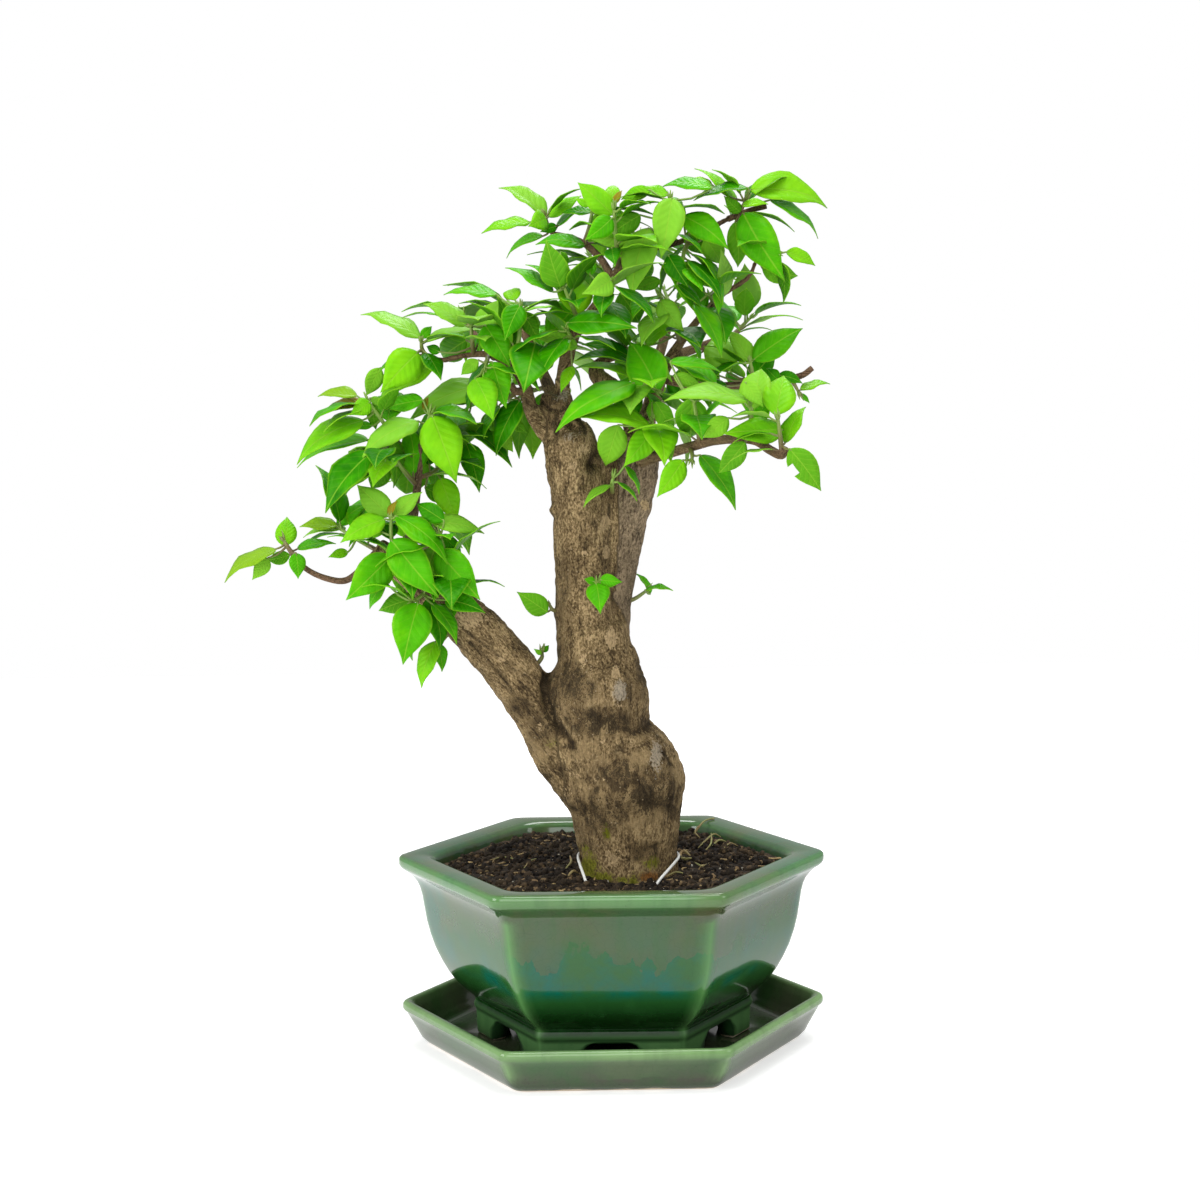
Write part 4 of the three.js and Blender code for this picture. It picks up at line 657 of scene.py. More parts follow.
def soil_skin():
    """From the middle of the top out to the rim, then down inside the pot to the floor."""
    bm = bmesh.new()
    angles = [2 * math.pi * step / SOIL_SIDES for step in range(SOIL_SIDES)]
    reach = [hexagon_reach(angle, SOIL_SHARPNESS) * FLAT_TO_CORNER for angle in angles]
    ring = bmesh.ops.create_circle(bm, segments=SOIL_SIDES, radius=1)["verts"]
    for step in range(SOIL_RINGS):
        if step:
            ring = next_ring(bm, ring)
        share = 0.01 + 0.99 * (step / (SOIL_RINGS - 1)) ** 0.8
        for vert, angle, side in zip(ring, angles, reach):
            out = share * SOIL_CORNER * side / 1000
            x = out * math.cos(angle + POT_TURN)
            y = out * math.sin(angle + POT_TURN)
            drop = 0.002 * max(0, share - 0.96) / 0.04
            vert.co = (x, y, soil_height(x, y) - drop)
    for corner, height in SOIL_LOWER:
        ring = next_ring(bm, ring)
        for vert, angle, side in zip(ring, angles, reach):
            out = corner * side / 1000
            vert.co = (out * math.cos(angle + POT_TURN), out * math.sin(angle + POT_TURN), height / 1000)
    close_rims(bm)
    return bm


def free_soil_place(draw):
    """A random place on the soil, clear of the trunk and the pot's wall."""
    while True:
        x = drawn(draw, -STREWN_REACH, STREWN_REACH)
        y = drawn(draw, -STREWN_DEPTH, STREWN_DEPTH)
        angle = math.atan2(y, x) - POT_TURN
        inside = math.hypot(x, y) < STREWN_REACH * hexagon_reach(angle, SOIL_SHARPNESS) * FLAT_TO_CORNER
        if inside and math.hypot(x - TRUNK_FOOT.x, y - TRUNK_FOOT.y) > CLEAR_OF_TRUNK:
            return x, y


def strew(bm, draw, count, low, high, flatness):
    """Many small irregular lumps, half sunk into the soil, mostly of the low size, a few of the high."""
    for index in range(count):
        x, y = free_soil_place(draw)
        size = (low + (high - low) * next(draw) ** 3) / 1000
        place = Vector((x, y, soil_height(x, y) + CRUMB_SUNK * size))
        spin = Matrix.Rotation(FULL_TURN * next(draw), 4, Vector((next(draw), next(draw), 0.1)).normalized())
        shape = Matrix.Diagonal((size, size * drawn(draw, 0.6, 1), size * flatness, 1))
        lump = Matrix.Translation(place) @ spin @ shape
        made = bmesh.ops.create_icosphere(bm, subdivisions=1, radius=1, matrix=lump)["verts"]
        for vert in made:
            away = vert.co - place
            vert.co = place + away * drawn(draw, 0.72, 1.22)


def thin_rod(bm, points, radii, sides):
    """A closed rod through a row of points, with a radius at each."""
    ring = bmesh.ops.create_circle(bm, segments=sides, radius=1)["verts"]
    first = ring
    across = Vector((1, 0, 0)) if abs((points[1] - points[0]).normalized().x) < 0.8 else Vector((0, 1, 0))
    for index, (point, radius) in enumerate(zip(points, radii)):
        if index:
            ring = next_ring(bm, ring)
        along = (points[min(index + 1, len(points) - 1)] - points[max(index - 1, 0)]).normalized()
        across = (across - along * across.dot(along)).normalized()
        third = along.cross(across)
        for side, vert in enumerate(ring):
            angle = 2 * math.pi * side / sides
            vert.co = point + radius * (across * math.cos(angle) + third * math.sin(angle))
    bm.faces.new(reversed(first))
    bm.faces.new(ring)


def plain_matter(name, colour, other, scale, roughness):
    """A matt natural stuff whose colour wanders between two tints."""
    material, nodes, links, finish = new_material(name)
    wander = noise_field(own_place(nodes), scale, 4)
    links.new(mixed(ranged(wander, 0.35, 0.65), colour, other), finish.inputs["Base Color"])
    finish.inputs["Roughness"].default_value = roughness
    bumped(finish, wander, 0.4, 0.0003)
    return material


def lay_straws(bm, draw):
    """Short bent straws that follow the lumps of the soil."""
    for index in range(STRAWS):
        x, y = free_soil_place(draw)
        turn = FULL_TURN * next(draw)
        length = (SHORTEST_STRAW + (LONGEST_STRAW - SHORTEST_STRAW) * next(draw) ** 2) / 1000
        bend = (next(draw) - 0.5) * length * 0.5
        points = []
        for step in range(5):
            share = step / 4 - 0.5
            along = Vector((math.cos(turn), math.sin(turn), 0)) * (share * length)
            aside = Vector((-math.sin(turn), math.cos(turn), 0)) * (bend * (1 - 4 * share * share))
            spot = Vector((x, y, 0)) + along + aside
            points.append(Vector((spot.x, spot.y, soil_height(spot.x, spot.y) + 0.0006)))
        thick = drawn(draw, *STRAW_RADIUS) / 1000
        thin_rod(bm, points, [0.5 * thick, thick, thick, thick, 0.4 * thick], 5)


def smooth_curve(points, per_span):
    """Points of a smooth curve through a row of points, per_span to each gap."""
    result = []
    ends = [2 * points[0] - points[1], *points, 2 * points[-1] - points[-2]]
    for index in range(len(points) - 1):
        before, start, end, after = ends[index : index + 4]
        for step in range(per_span):
            t = step / per_span
            bend = (2 * before - 5 * start + 4 * end - after) * t * t
            twist = (3 * start - before - 3 * end + after) * t * t * t
            result.append(0.5 * (2 * start + (end - before) * t + bend + twist))
    result.append(points[-1])
    return result


def on_level(u, v, height):
    """Where the camera's ray through a sheet place meets a height in metres."""
    ray = plot(u, v, 0) - EYE
    return EYE + ray * ((height - EYE.z) / ray.z)


def on_soil(u, v, lift):
    """Where the camera's ray meets the lumpy soil, found by a few closer guesses at its height."""
    height = SOIL_LEVEL / 1000
    for attempt in range(4):
        place = on_level(u, v, height)
        height = soil_height(place.x, place.y) + lift
    return on_level(u, v, height)


def lay_litter(bm):
    """Green and tan strands on the right of the soil, a curled husk by the wire, a thin stem on the rim."""
    for line, thick in LITTER:
        points = smooth_curve([on_soil(u, v, LITTER_LIFT + lift / 1000) for u, v, lift in line], 4)
        count = len(points)
        from_end = [min(step, count - 1 - step) for step in range(count)]
        thin_rod(bm, points, [thick / 1000 * min(1, 0.5 + 2 * steps / count) for steps in from_end], 6)
    over_rim = [on_level(u, v, RIM_TOP / 1000 + STEM_RADIUS) for u, v in RIM_STEM]
    points = smooth_curve([on_soil(*STEM_FOOT, LITTER_LIFT), *over_rim], 4)
    thin_rod(bm, points, [STEM_RADIUS] * len(points), 6)


def make_soil():
    draw = seeded(SOIL_SEED)
    earth = soil_material()
    skin = mesh_object("soil_body", soil_skin(), earth)
    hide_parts("soil")
    crumbs = bmesh.new()
    strew(crumbs, draw, *CRUMBS)
    straws = bmesh.new()
    lay_straws(straws, draw)
    grains = bmesh.new()
    strew(grains, draw, *GRAINS)
    litter = bmesh.new()
    lay_litter(litter)
    litter_green = plain_matter("dry_litter", (0.28, 0.3, 0.1), (0.3, 0.2, 0.09), 90, 0.75)
    straw_tan = plain_matter("dry_straw", (0.42, 0.3, 0.13), (0.24, 0.16, 0.07), 260, 0.7)
    grain_grey = plain_matter("pale_grain", (0.5, 0.47, 0.4), (0.3, 0.27, 0.2), 500, 0.8)
    pieces = [
        skin,
        mesh_object("soil_crumbs", crumbs, earth),
        mesh_object("straw_bits", straws, straw_tan),
        mesh_object("soil_litter", litter, litter_green),
        mesh_object("pale_grains", grains, grain_grey),
    ]
    for piece in pieces:
        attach(piece, "root")


make_soil()


# Wood: trunk, bough and twigs grew as one. The thick limbs are skinned together without a seam and
# furrowed along their grain. The thin twigs are rods sunk into them. Stations: sheet place, depth, radius.
TRUNK = [
    (631, 945, -18, 24), (631, 915, -18, 28.5), (630, 885, -18, 27.8), (628, 845, -18, 28.2),
    (626, 820, -18, 30.4), (625, 800, -17, 33), (623, 785, -17, 35.5), (619, 771, -17, 34.4),
    (611, 757, -17, 31.8), (602, 742, -18, 29.4), (599, 727, -18, 28.6), (597, 712, -18, 28.6),
    (597, 695, -18, 29.6), (597, 678, -18, 27.6), (597, 662, -18, 22.8), (594, 645, -18, 20.5),
    (592, 625, -18, 19),
]
MAIN_STEM = [
    (590, 655, -18, 17.5), (585, 620, -19, 16.2), (583, 580, -20, 15.6), (581, 525, -20, 15.6),
    (577, 480, -20, 15.6), (572, 455, -20, 15.2), (569, 436, -20, 14.6),
]
MAIN_STUB = [
    (570, 450, -18, 12), (562, 425, -17, 11), (557, 408, -16, 10), (557, 394, -16, 8.6),
]
FRONT_SCAR = [
    (578, 450, -20, 12), (574, 430, -29, 9.5),
]
RIGHT_STEM = [
    (606, 668, -14, 12), (610, 630, -12, 11.2), (614, 590, -10, 10.8), (620, 550, -9, 11.4),
    (627, 515, -9, 12), (633, 485, -9, 12.4), (637, 458, -9, 12.2), (640, 438, -8, 10.5),
]
BOUGH = [
    (612, 832, -16, 17), (588, 790, -17, 15.5), (562, 752, -18, 16.4), (541, 714, -19, 15.2),
    (513, 673, -21, 15), (483, 638, -23, 14.6), (457, 613, -25, 13.2), (430, 590, -26, 10.2),
    (404, 568, -27, 8.4), (375, 550, -28, 7.4),
]
BRANCHES = {
    "leftTopBranch": [(556, 440, -20, 7), (541, 427, -21, 5.2), (530, 408, -22, 4.4),
        (526, 388, -22, 3.7), (517, 373, -22, 2.9), (505, 362, -21, 2.5), (485, 354, -18, 2.3),
        (463, 356, -14, 2.1), (440, 360, -10, 1.9), (422, 353, -8, 1.8)],
    "sideStub": [(525, 391, -22, 2.6), (515, 391, -24, 2.2), (511, 384, -25, 1.8)],
    "leader": [(560, 404, -16, 5.6), (563, 380, -16, 4.3), (568, 352, -16, 4.2), (577, 330, -17, 3.5),
        (600, 300, -18, 3), (616, 272, -18, 2.7), (640, 252, -15, 2.5), (680, 242, -10, 2.1),
        (705, 231, -8, 2), (728, 219, -7, 1.9), (740, 214, -6, 1.8)],
    "leaderFork": [(728, 219, -7, 1.9), (748, 211, -3, 1.6), (766, 206, -2, 1.6)],
    "topLeftTwig": [(612, 277, -18, 2.3), (600, 258, -10, 2), (583, 243, -4, 1.8), (567, 237, 1, 1.7),
        (552, 234, 4, 1.6)],
    "boughRiser": [(402, 572, -27, 4.4), (407, 548, -25, 3), (412, 525, -23, 2.6), (418, 480, -20, 2.2),
        (420, 444, -18, 1.8)],
    "nearBranch": [(636, 462, -14, 4), (648, 459, -26, 3.3), (690, 447, -55, 2.8), (718, 440, -74, 2.6),
        (752, 440, -94, 2.4), (770, 450, -104, 2.3), (781, 455, -109, 2.3), (786, 448, -111, 1.9)],
    "stemTopTwig": [(644, 458, -14, 3.6), (652, 447, -22, 2.8), (655, 434, -27, 2.3)],
    "innerBranch": [(639, 446, -8, 8), (632, 418, -4, 6.4), (617, 392, 0, 5.4), (596, 374, 6, 4.8),
        (604, 360, 10, 3.4), (630, 352, 12, 2.4)],
    "rightRiser": [(640, 442, -6, 6.5), (651, 408, 6, 4.6), (663, 372, 12, 3.8), (680, 343, 14, 3),
        (697, 321, 8, 2.5), (712, 304, 2, 2.2), (726, 292, -1, 2), (741, 283, -3, 1.8),
        (750, 275, -4, 1.7), (756, 260, -4, 1.6)],
    "rightSpan": [(661, 378, 11, 3.2), (700, 386, 14, 2.6), (745, 385, 12, 2.3), (768, 383, 10, 2.1),
        (800, 376, 8, 1.9), (812, 368, 6, 1.7)],
    "boughTipTwig": [(378, 553, -28, 3), (356, 574, -30, 2), (342, 581, -31, 1.8), (322, 577, -32, 1.6),
        (305, 568, -32, 1.5), (292, 554, -32, 1.4)],
    "backLeft": [(566, 425, -12, 6), (550, 390, 18, 3.8), (535, 355, 45, 3), (518, 322, 70, 2)],
    "backRight": [(640, 444, -4, 6), (650, 402, 32, 3.8), (660, 352, 62, 3), (674, 312, 88, 2)],
    "backTop": [(598, 303, -18, 2.8), (612, 282, 20, 2.4), (626, 262, 56, 1.8)],
    "boughBack": [(430, 594, -24, 5), (432, 552, 4, 3), (438, 510, 34, 2)],
    "backFarRight": [(672, 357, 14, 3), (702, 346, 48, 2.5), (732, 336, 82, 1.9)],
    "backUpperLeft": [(494, 357, -18, 2.2), (482, 342, 16, 2), (472, 332, 48, 1.7)],
}
UP = Vector((0, 0, 1))
SKINNED_BRANCHES = ("leftTopBranch", "leader", "innerBranch", "rightRiser")
SKIN_CELL = 0.0013
SKIN_SMOOTHINGS = 7
TWIG_SIDES = 10
LIMB_SIDES = 28
# Wood thinner than this, in metres, bears no marks, and wood thinner still is young and smooth.
MARKED_FROM = 0.0045
YOUNG_FROM = 0.0032
YOUNG_OVER = 0.0014
# Moss creeps this far up the foot of the trunk, which is thicker than any other limb.
MOSS_CLIMB = 0.012
FOOT_RADIUS = 0.02
# Rise in metres and span in mm of the bark's ridges, knobs, finest grain and slow swell. They reach
# their full height on limbs of this radius in metres, and the ridges waver by so many mm.
BARK_RIDGES = (0.0004, 2.7)
BARK_KNOBS = (0.0007, 5.2)
BARK_FINE = (0.00035, 1.9)
BARK_SWELL = (0.0013, 17)
FULL_RELIEF = 0.014
RIDGE_WAVER = 2.2
# The skin fills the fork between the two stems a little.
FORK_FILLET = [
    (606, 585, -14, 8.5), (605, 540, -14, 9.5), (604, 500, -14, 9.5), (601, 468, -15, 9), (598, 452, -16, 7),
]
# The first limbs share one upright grain.
UPRIGHT_LIMBS = 5
# The right stem has a smoother, greyer bark than the others, below this row of the sheet.
ASH_LIMB = 5
ASH_FROM = 440
# Between these rows the bark is worn and blotched, fading in and out over so many rows.
WORN_FROM = 690
WORN_TO = 845
WORN_IN = 40
WORN_OUT = 30
# Marks on the front of the bark: sheet place, reach across and down, strength. The dark marks are partly the
# bark's own dark patches and partly painted shade: in the fork where the bough leaves the trunk, under the
# right branch, down the trunk's right edge and above the moss.
DARK_AND_SHADE_MARKS = [
    (570, 684, 16, 20, 0.95), (600, 722, 26, 12, 0.95), (640, 730, 9, 6, 0.6), (641, 676, 6, 20, 0.6),
    (575, 712, 10, 14, 0.6), (600, 812, 26, 18, 0.65), (645, 797, 26, 20, 0.8), (620, 772, 26, 16, 0.45),
    (592, 462, 7, 13, 0.75), (584, 541, 6, 10, 0.35), (644, 853, 16, 9, 0.6), (588, 838, 8, 16, 0.45),
    (662, 778, 12, 14, 0.6), (668, 800, 8, 18, 0.6), (560, 655, 6, 22, 0.35), (556, 420, 9, 10, 0.6),
    (520, 706, 10, 12, 0.45), (552, 706, 7, 24, 1.05), (628, 690, 4, 14, 0.6), (585, 690, 14, 12, 0.45),
    (568, 405, 16, 12, 0.5), (572, 432, 14, 9, 0.45), (556, 400, 14, 5, 0.9), (630, 600, 8, 40, 0.3),
    (565, 590, 8, 40, 0.3), (540, 730, 14, 20, 0.35),
]
# The cream marks are mostly pale flakes of bark; the wide one on the bough's upper side is painted light.
CREAM_AND_LIGHT_MARKS = [
    (611, 638, 6, 13, 1.1), (584, 661, 6, 11, 0.75), (615, 672, 5, 9, 0.9), (605, 523, 5, 9, 1.1),
    (605.5, 552, 4.6, 8.5, 1.1), (584, 553, 6, 5, 0.7), (583, 450, 8, 7, 0.8), (573, 466, 7, 5, 0.75),
    (620, 706, 5, 3, 0.8), (589, 638, 4, 4, 0.6), (630, 746, 14, 7, 0.5), (603, 742, 6, 5, 0.6),
    (551, 512, 4, 9, 0.8), (566, 790, 12, 12, 0.45), (644, 505, 5, 6, 0.9), (600, 780, 18, 7, 0.35),
    (568, 430, 11, 5, 0.6), (500, 660, 9, 5, 0.5), (648, 664, 3, 9, 0.5), (596, 862, 12, 6, 0.35),
    (553, 440, 6, 10, 0.4), (628, 815, 12, 5, 0.4), (540, 728, 8, 8, 0.45), (468, 618, 26, 14, 0.75),
    (590, 575, 10, 30, 0.3), (614, 858, 22, 16, 0.6), (575, 775, 14, 8, 0.5),
]
GREY_MARKS = [
    (620, 692, 7, 13, 0.8), (656, 757, 7, 20, 0.85), (563, 396, 12, 7, 0.7), (572, 437, 10, 5, 0.6),
]
MOSS_MARKS = [
    (589, 868, 11, 15, 1), (601, 879, 15, 7, 1.2), (652, 863, 14, 8, 0.6), (624, 880, 16, 4, 0.7),
    (552, 744, 12, 9, 0.3), (606, 834, 5, 10, 0.55), (584, 850, 6, 8, 0.6),
]
RUST_MARKS = [(650, 877, 13, 5, 1), (604, 888, 12, 3, 0.5)]
# Knots stand out and hollows sink in: sheet place, reach, rise in metres. The hollows are also painted dark,
# as painted shade.
KNOTS = [
    (551, 613, 9, 0.003), (552, 510, 7, 0.0022), (571, 432, 14, 0.0018), (620, 692, 9, 0.0008),
    (644, 506, 6, 0.0012), (611, 638, 6, 0.0007), (656, 757, 12, 0.0008),
]
HOLLOWS = [(571, 426, 5, -0.004), (594, 464, 6, -0.0025), (557, 392, 5, -0.002), (614, 726, 9, -0.0014)]
# Folds in the bark: places on the sheet, half width, depth in metres. They fade towards their last place,
# and are painted dark along their length as painted shade.
CREASES = [
    ([(549, 665), (544.5, 684), (546, 702), (551, 717), (560, 731), (572, 746), (582, 760)], 4, 0.003),
    ([(557, 676), (553, 692), (558, 708), (567, 722), (577, 737)], 2.4, 0.001),
    ([(652, 721), (643, 729), (632, 733), (621, 728), (608, 720)], 3.6, 0.0013),
    ([(609, 478), (609, 520), (609, 578), (613, 600), (618, 615), (623, 628), (628, 655)], 2, 0.0006),
    ([(596, 790), (601, 806), (607, 822), (604, 842), (600, 860)], 4.5, 0.0007),
    ([(656, 846), (647, 850), (638, 856), (630, 864)], 4.5, 0.0007),
    ([(660, 750), (669, 760), (677, 772)], 1.8, 0.001),
    ([(470, 642), (500, 674), (522, 706), (545, 742)], 2.4, 0.0006),
    ([(452, 619), (480, 642), (512, 668), (535, 690)], 2, 0.0006),
    ([(588, 466), (594, 458), (600, 447)], 3.6, 0.0016),
    ([(556, 433), (560, 422), (570, 417), (581, 421), (586, 431), (583, 442)], 2, 0.0015),
    ([(541, 402), (548, 409), (560, 411), (573, 405)], 2.4, 0.0016),
    ([(563, 434), (567, 427), (575, 427), (579, 434), (574, 440)], 1.6, 0.0009),
    ([(572, 700), (584, 712), (600, 716), (616, 708)], 2.2, 0.0006),
    ([(636, 660), (640, 676), (636, 692), (630, 706)], 2.2, 0.0007),
]
# Folds are felt this near on the sheet, and their painted shade is full from this depth in metres.
CREASE_NEAR = 45
DARKEST_CREASE = 0.0014
# On the sides that the sheet doesn't show, marks come from slow noises with these spans in mm: how
# strongly each noise counts, and what is added to it.
PATCH_SPAN = 11
GREY_SPAN = 9
FAR_DARK = (1.3, -0.1)
FAR_CREAM = (-1.3, -0.3)
FAR_GREY = (1.2, -0.4)


def limb_axis(stations):
    return [(plot(u, v, depth), radius / 1000) for u, v, depth, radius in stations]


def limb_rod(bm, stations, sides, per_span):
    axis = limb_axis(stations)
    line = smooth_curve([point for point, radius in axis], per_span)
    widths = smooth_curve([Vector((radius, 0, 0)) for point, radius in axis], per_span)
    thin_rod(bm, line, [width.x for width in widths], sides)


def skinned(bm):
    """The one skin that lies over all the rods of a bmesh, its joints softened."""
    for face in bm.faces:
        face.smooth = True
    rods = bpy.data.meshes.new("limb_rods")
    bm.to_mesh(rods)
    bm.free()
    carrier = bpy.data.objects.new("limb_rods", rods)
    bpy.context.scene.collection.objects.link(carrier)
    wrap = carrier.modifiers.new("skin", "REMESH")
    wrap.mode = "VOXEL"
    wrap.voxel_size = SKIN_CELL
    graph = bpy.context.evaluated_depsgraph_get()
    wrapped = bpy.data.meshes.new_from_object(carrier.evaluated_get(graph))
    bpy.data.objects.remove(carrier)
    skin = bmesh.new()
    skin.from_mesh(wrapped)
    bpy.data.meshes.remove(wrapped)
    for index in range(SKIN_SMOOTHINGS):
        bmesh.ops.smooth_vert(
            skin, verts=skin.verts, factor=0.5, use_axis_x=True, use_axis_y=True, use_axis_z=True
        )
    return skin


def axis_pieces(limbs):
    """Short straight pieces of every limb, with the radius at both ends and the limb's number."""
    pieces = []
    for number, stations in enumerate(limbs):
        axis = limb_axis(stations)
        for (start, thick), (end, thin) in zip(axis, axis[1:]):
            pieces.append((start, end - start, thick, thin, number))
    return pieces


def nearest_limb(pieces, point):
    """The radius and number of the limb whose side is nearest to a point."""
    best = None
    for start, way, thick, thin, number in pieces:
        share = held((point - start).dot(way) / way.length_squared)
        radius = thick + share * (thin - thick)
        gap = (point - start - share * way).length - radius
        if best is None or gap < best[0]:
            best = (gap, radius, number)
    return best[1:]


def mark_strength(marks, u, v):
    """How strong the strongest of the marks is at a sheet place."""
    strongest = 0
    for mark_u, mark_v, across, down, strength in marks:
        reach = ((u - mark_u) / across) ** 2 + ((v - mark_v) / down) ** 2
        if reach < 4:
            strongest = max(strongest, strength * math.exp(-reach))
    return strongest


def share_along(u, v, start, end):
    """The share of a line on the sheet at which it comes nearest to (u, v). It may lie past either end."""
    run_u = end[0] - start[0]
    run_v = end[1] - start[1]
    return ((u - start[0]) * run_u + (v - start[1]) * run_v) / (run_u**2 + run_v**2)


def crease_depth(u, v):
    """How deep the folds are at a sheet place, and how strong the painted shade in them is there."""
    depth = shade = 0
    for line, half, deepest in CREASES:
        spans = list(zip(line, line[1:]))
        for index, (start, end) in enumerate(spans):
            if math.hypot(u - (start[0] + end[0]) / 2, v - (start[1] + end[1]) / 2) < CREASE_NEAR:
                share = held(share_along(u, v, start, end))
                near_u = start[0] + share * (end[0] - start[0])
                near_v = start[1] + share * (end[1] - start[1])
                away = ((u - near_u) ** 2 + (v - near_v) ** 2) / half**2
                fade = min(1, 3 * (1 - (index + share) / len(spans)))
                depth = max(depth, fade * deepest * math.exp(-away))
                shade = max(shade, fade * min(deepest / DARKEST_CREASE, 1) * math.exp(-1.2 * away))
    return depth, shade


def grain_frames(limbs):
    """For each limb the turn that lays its length along Z, the same one for the limbs of the trunk."""
    frames = []
    for number, stations in enumerate(limbs):
        axis = limb_axis(stations)
        along = (axis[-1][0] - axis[0][0]).normalized() if number >= UPRIGHT_LIMBS else UP
        frames.append(along.to_track_quat("Z", "Y").to_matrix().transposed())
    return frames


def bark_relief(grain, point, radius):
    """Ridges along the grain, knobs and slow swells, in metres. The place along the grain comes in mm."""
    warp = RIDGE_WAVER * noise.noise(grain / 7.5)
    across = Vector((grain.x + warp, grain.y - warp, grain.z * 0.2))
    ridges = BARK_RIDGES[0] * (1 - 2 * abs(noise.noise(across / BARK_RIDGES[1])))
    knobs = BARK_KNOBS[0] * noise.noise(point * 1000 / BARK_KNOBS[1] + Vector((7, 0, 0)))
    fine = BARK_FINE[0] * noise.noise(Vector((grain.x, grain.y, grain.z * 0.5)) / BARK_FINE[1])
    swell = BARK_SWELL[0] * noise.noise(point * 1000 / BARK_SWELL[1])
    return min(radius / FULL_RELIEF, 1) * (ridges + knobs + fine + swell)


def bark_the_skin(skin, limbs):
    """Pushes the skin in and out along its normals, and paints its marks and its grain on it.
    Layers: marks (dark, cream, grey, moss), extras (rust, young, ash, weathered), grain. The dark mark also
    holds painted shade, and the cream mark some painted light."""
    marks = skin.verts.layers.float_color.new("marks")
    extras = skin.verts.layers.float_color.new("extras")
    grains = skin.verts.layers.float_vector.new("grain")
    pieces = axis_pieces(limbs)
    frames = grain_frames(limbs)
    skin.normal_update()
    moves = []
    soil_top = (SOIL_LEVEL + 1) / 1000
    for vert in skin.verts:
        point = vert.co
        normal = vert.normal
        radius, number = nearest_limb(pieces, point)
        grain = frames[number] @ point * 1000
        relief = bark_relief(grain, point, radius)
        u, v = sheet_place(point)
        dark = cream = grey = moss = rust = 0
        patch = noise.noise(point * 1000 / PATCH_SPAN + Vector((3, 3, 3)))
        if radius < MARKED_FROM:
            dark = 0.2
        elif normal.dot(EYE - point) > 0:
            dark = mark_strength(DARK_AND_SHADE_MARKS, u, v)
            cream = mark_strength(CREAM_AND_LIGHT_MARKS, u, v)
            grey = mark_strength(GREY_MARKS, u, v)
            moss = mark_strength(MOSS_MARKS, u, v)
            rust = mark_strength(RUST_MARKS, u, v)
            # The folds and hollows are painted dark too: painted shade.
            depth, shade = crease_depth(u, v)
            relief -= depth
            dark = max(dark, shade)
            for spot_u, spot_v, reach, rise in (*KNOTS, *HOLLOWS):
                distance = ((u - spot_u) ** 2 + (v - spot_v) ** 2) / reach**2
                if distance < 5:
                    relief += rise * math.exp(-1.6 * distance)
                    dark = max(dark, (0.9 if rise < 0 else 0.2) * math.exp(-2 * distance))
        else:
            dark = max(0, FAR_DARK[0] * patch + FAR_DARK[1])
            cream = max(0, FAR_CREAM[0] * patch + FAR_CREAM[1])
            grey = max(0, FAR_GREY[0] * noise.noise(point * 1000 / GREY_SPAN) + FAR_GREY[1])
        low = max(0, 1 - (point.z - soil_top) / MOSS_CLIMB) if radius > FOOT_RADIUS else 0
        moss = max(moss, low * max(0, 0.4 + 1.5 * noise.noise(point * 1000 / 8)) * 0.8)
        vert[marks] = (min(dark, 1), min(cream, 1), min(grey, 1), min(moss, 1))
        ash = 1.0 if number == ASH_LIMB and v > ASH_FROM else 0.0
        young = held((YOUNG_FROM - radius) / YOUNG_OVER)
        weathered = min(held((v - WORN_FROM) / WORN_IN), held((WORN_TO - v) / WORN_OUT))
        if number == ASH_LIMB:
            weathered = 0.0
        vert[extras] = (rust, young, ash, weathered)
        vert[grains] = grain / 1000
        moves.append(normal * relief)
    for vert, move in zip(skin.verts, moves):
        vert.co = vert.co + move


# Linear colours of the bark. The crack black also paints shade, and the flake cream also paints light.
BARK_SHADOW = (0.05, 0.032, 0.014)
BARK_BROWN = (0.23, 0.158, 0.074)
BARK_PALE = (0.46, 0.335, 0.17)
ASH_SHADOW = (0.07, 0.05, 0.032)
ASH_GREY = (0.36, 0.275, 0.18)
YOUNG_BARK = (0.2, 0.12, 0.07)
WORN_PALE = (0.38, 0.27, 0.13)
WORN_BLACK = (0.024, 0.015, 0.007)
CRACK_AND_SHADE_BLACK = (0.018, 0.012, 0.006)
FLAKE_AND_LIGHT_CREAM = (0.5, 0.36, 0.19)
SCAR_GREY = (0.4, 0.34, 0.25)
MOSS_GREEN = (0.19, 0.2, 0.008)
RUST_BROWN = (0.24, 0.085, 0.01)
SPECK_TAN = (0.42, 0.32, 0.19)


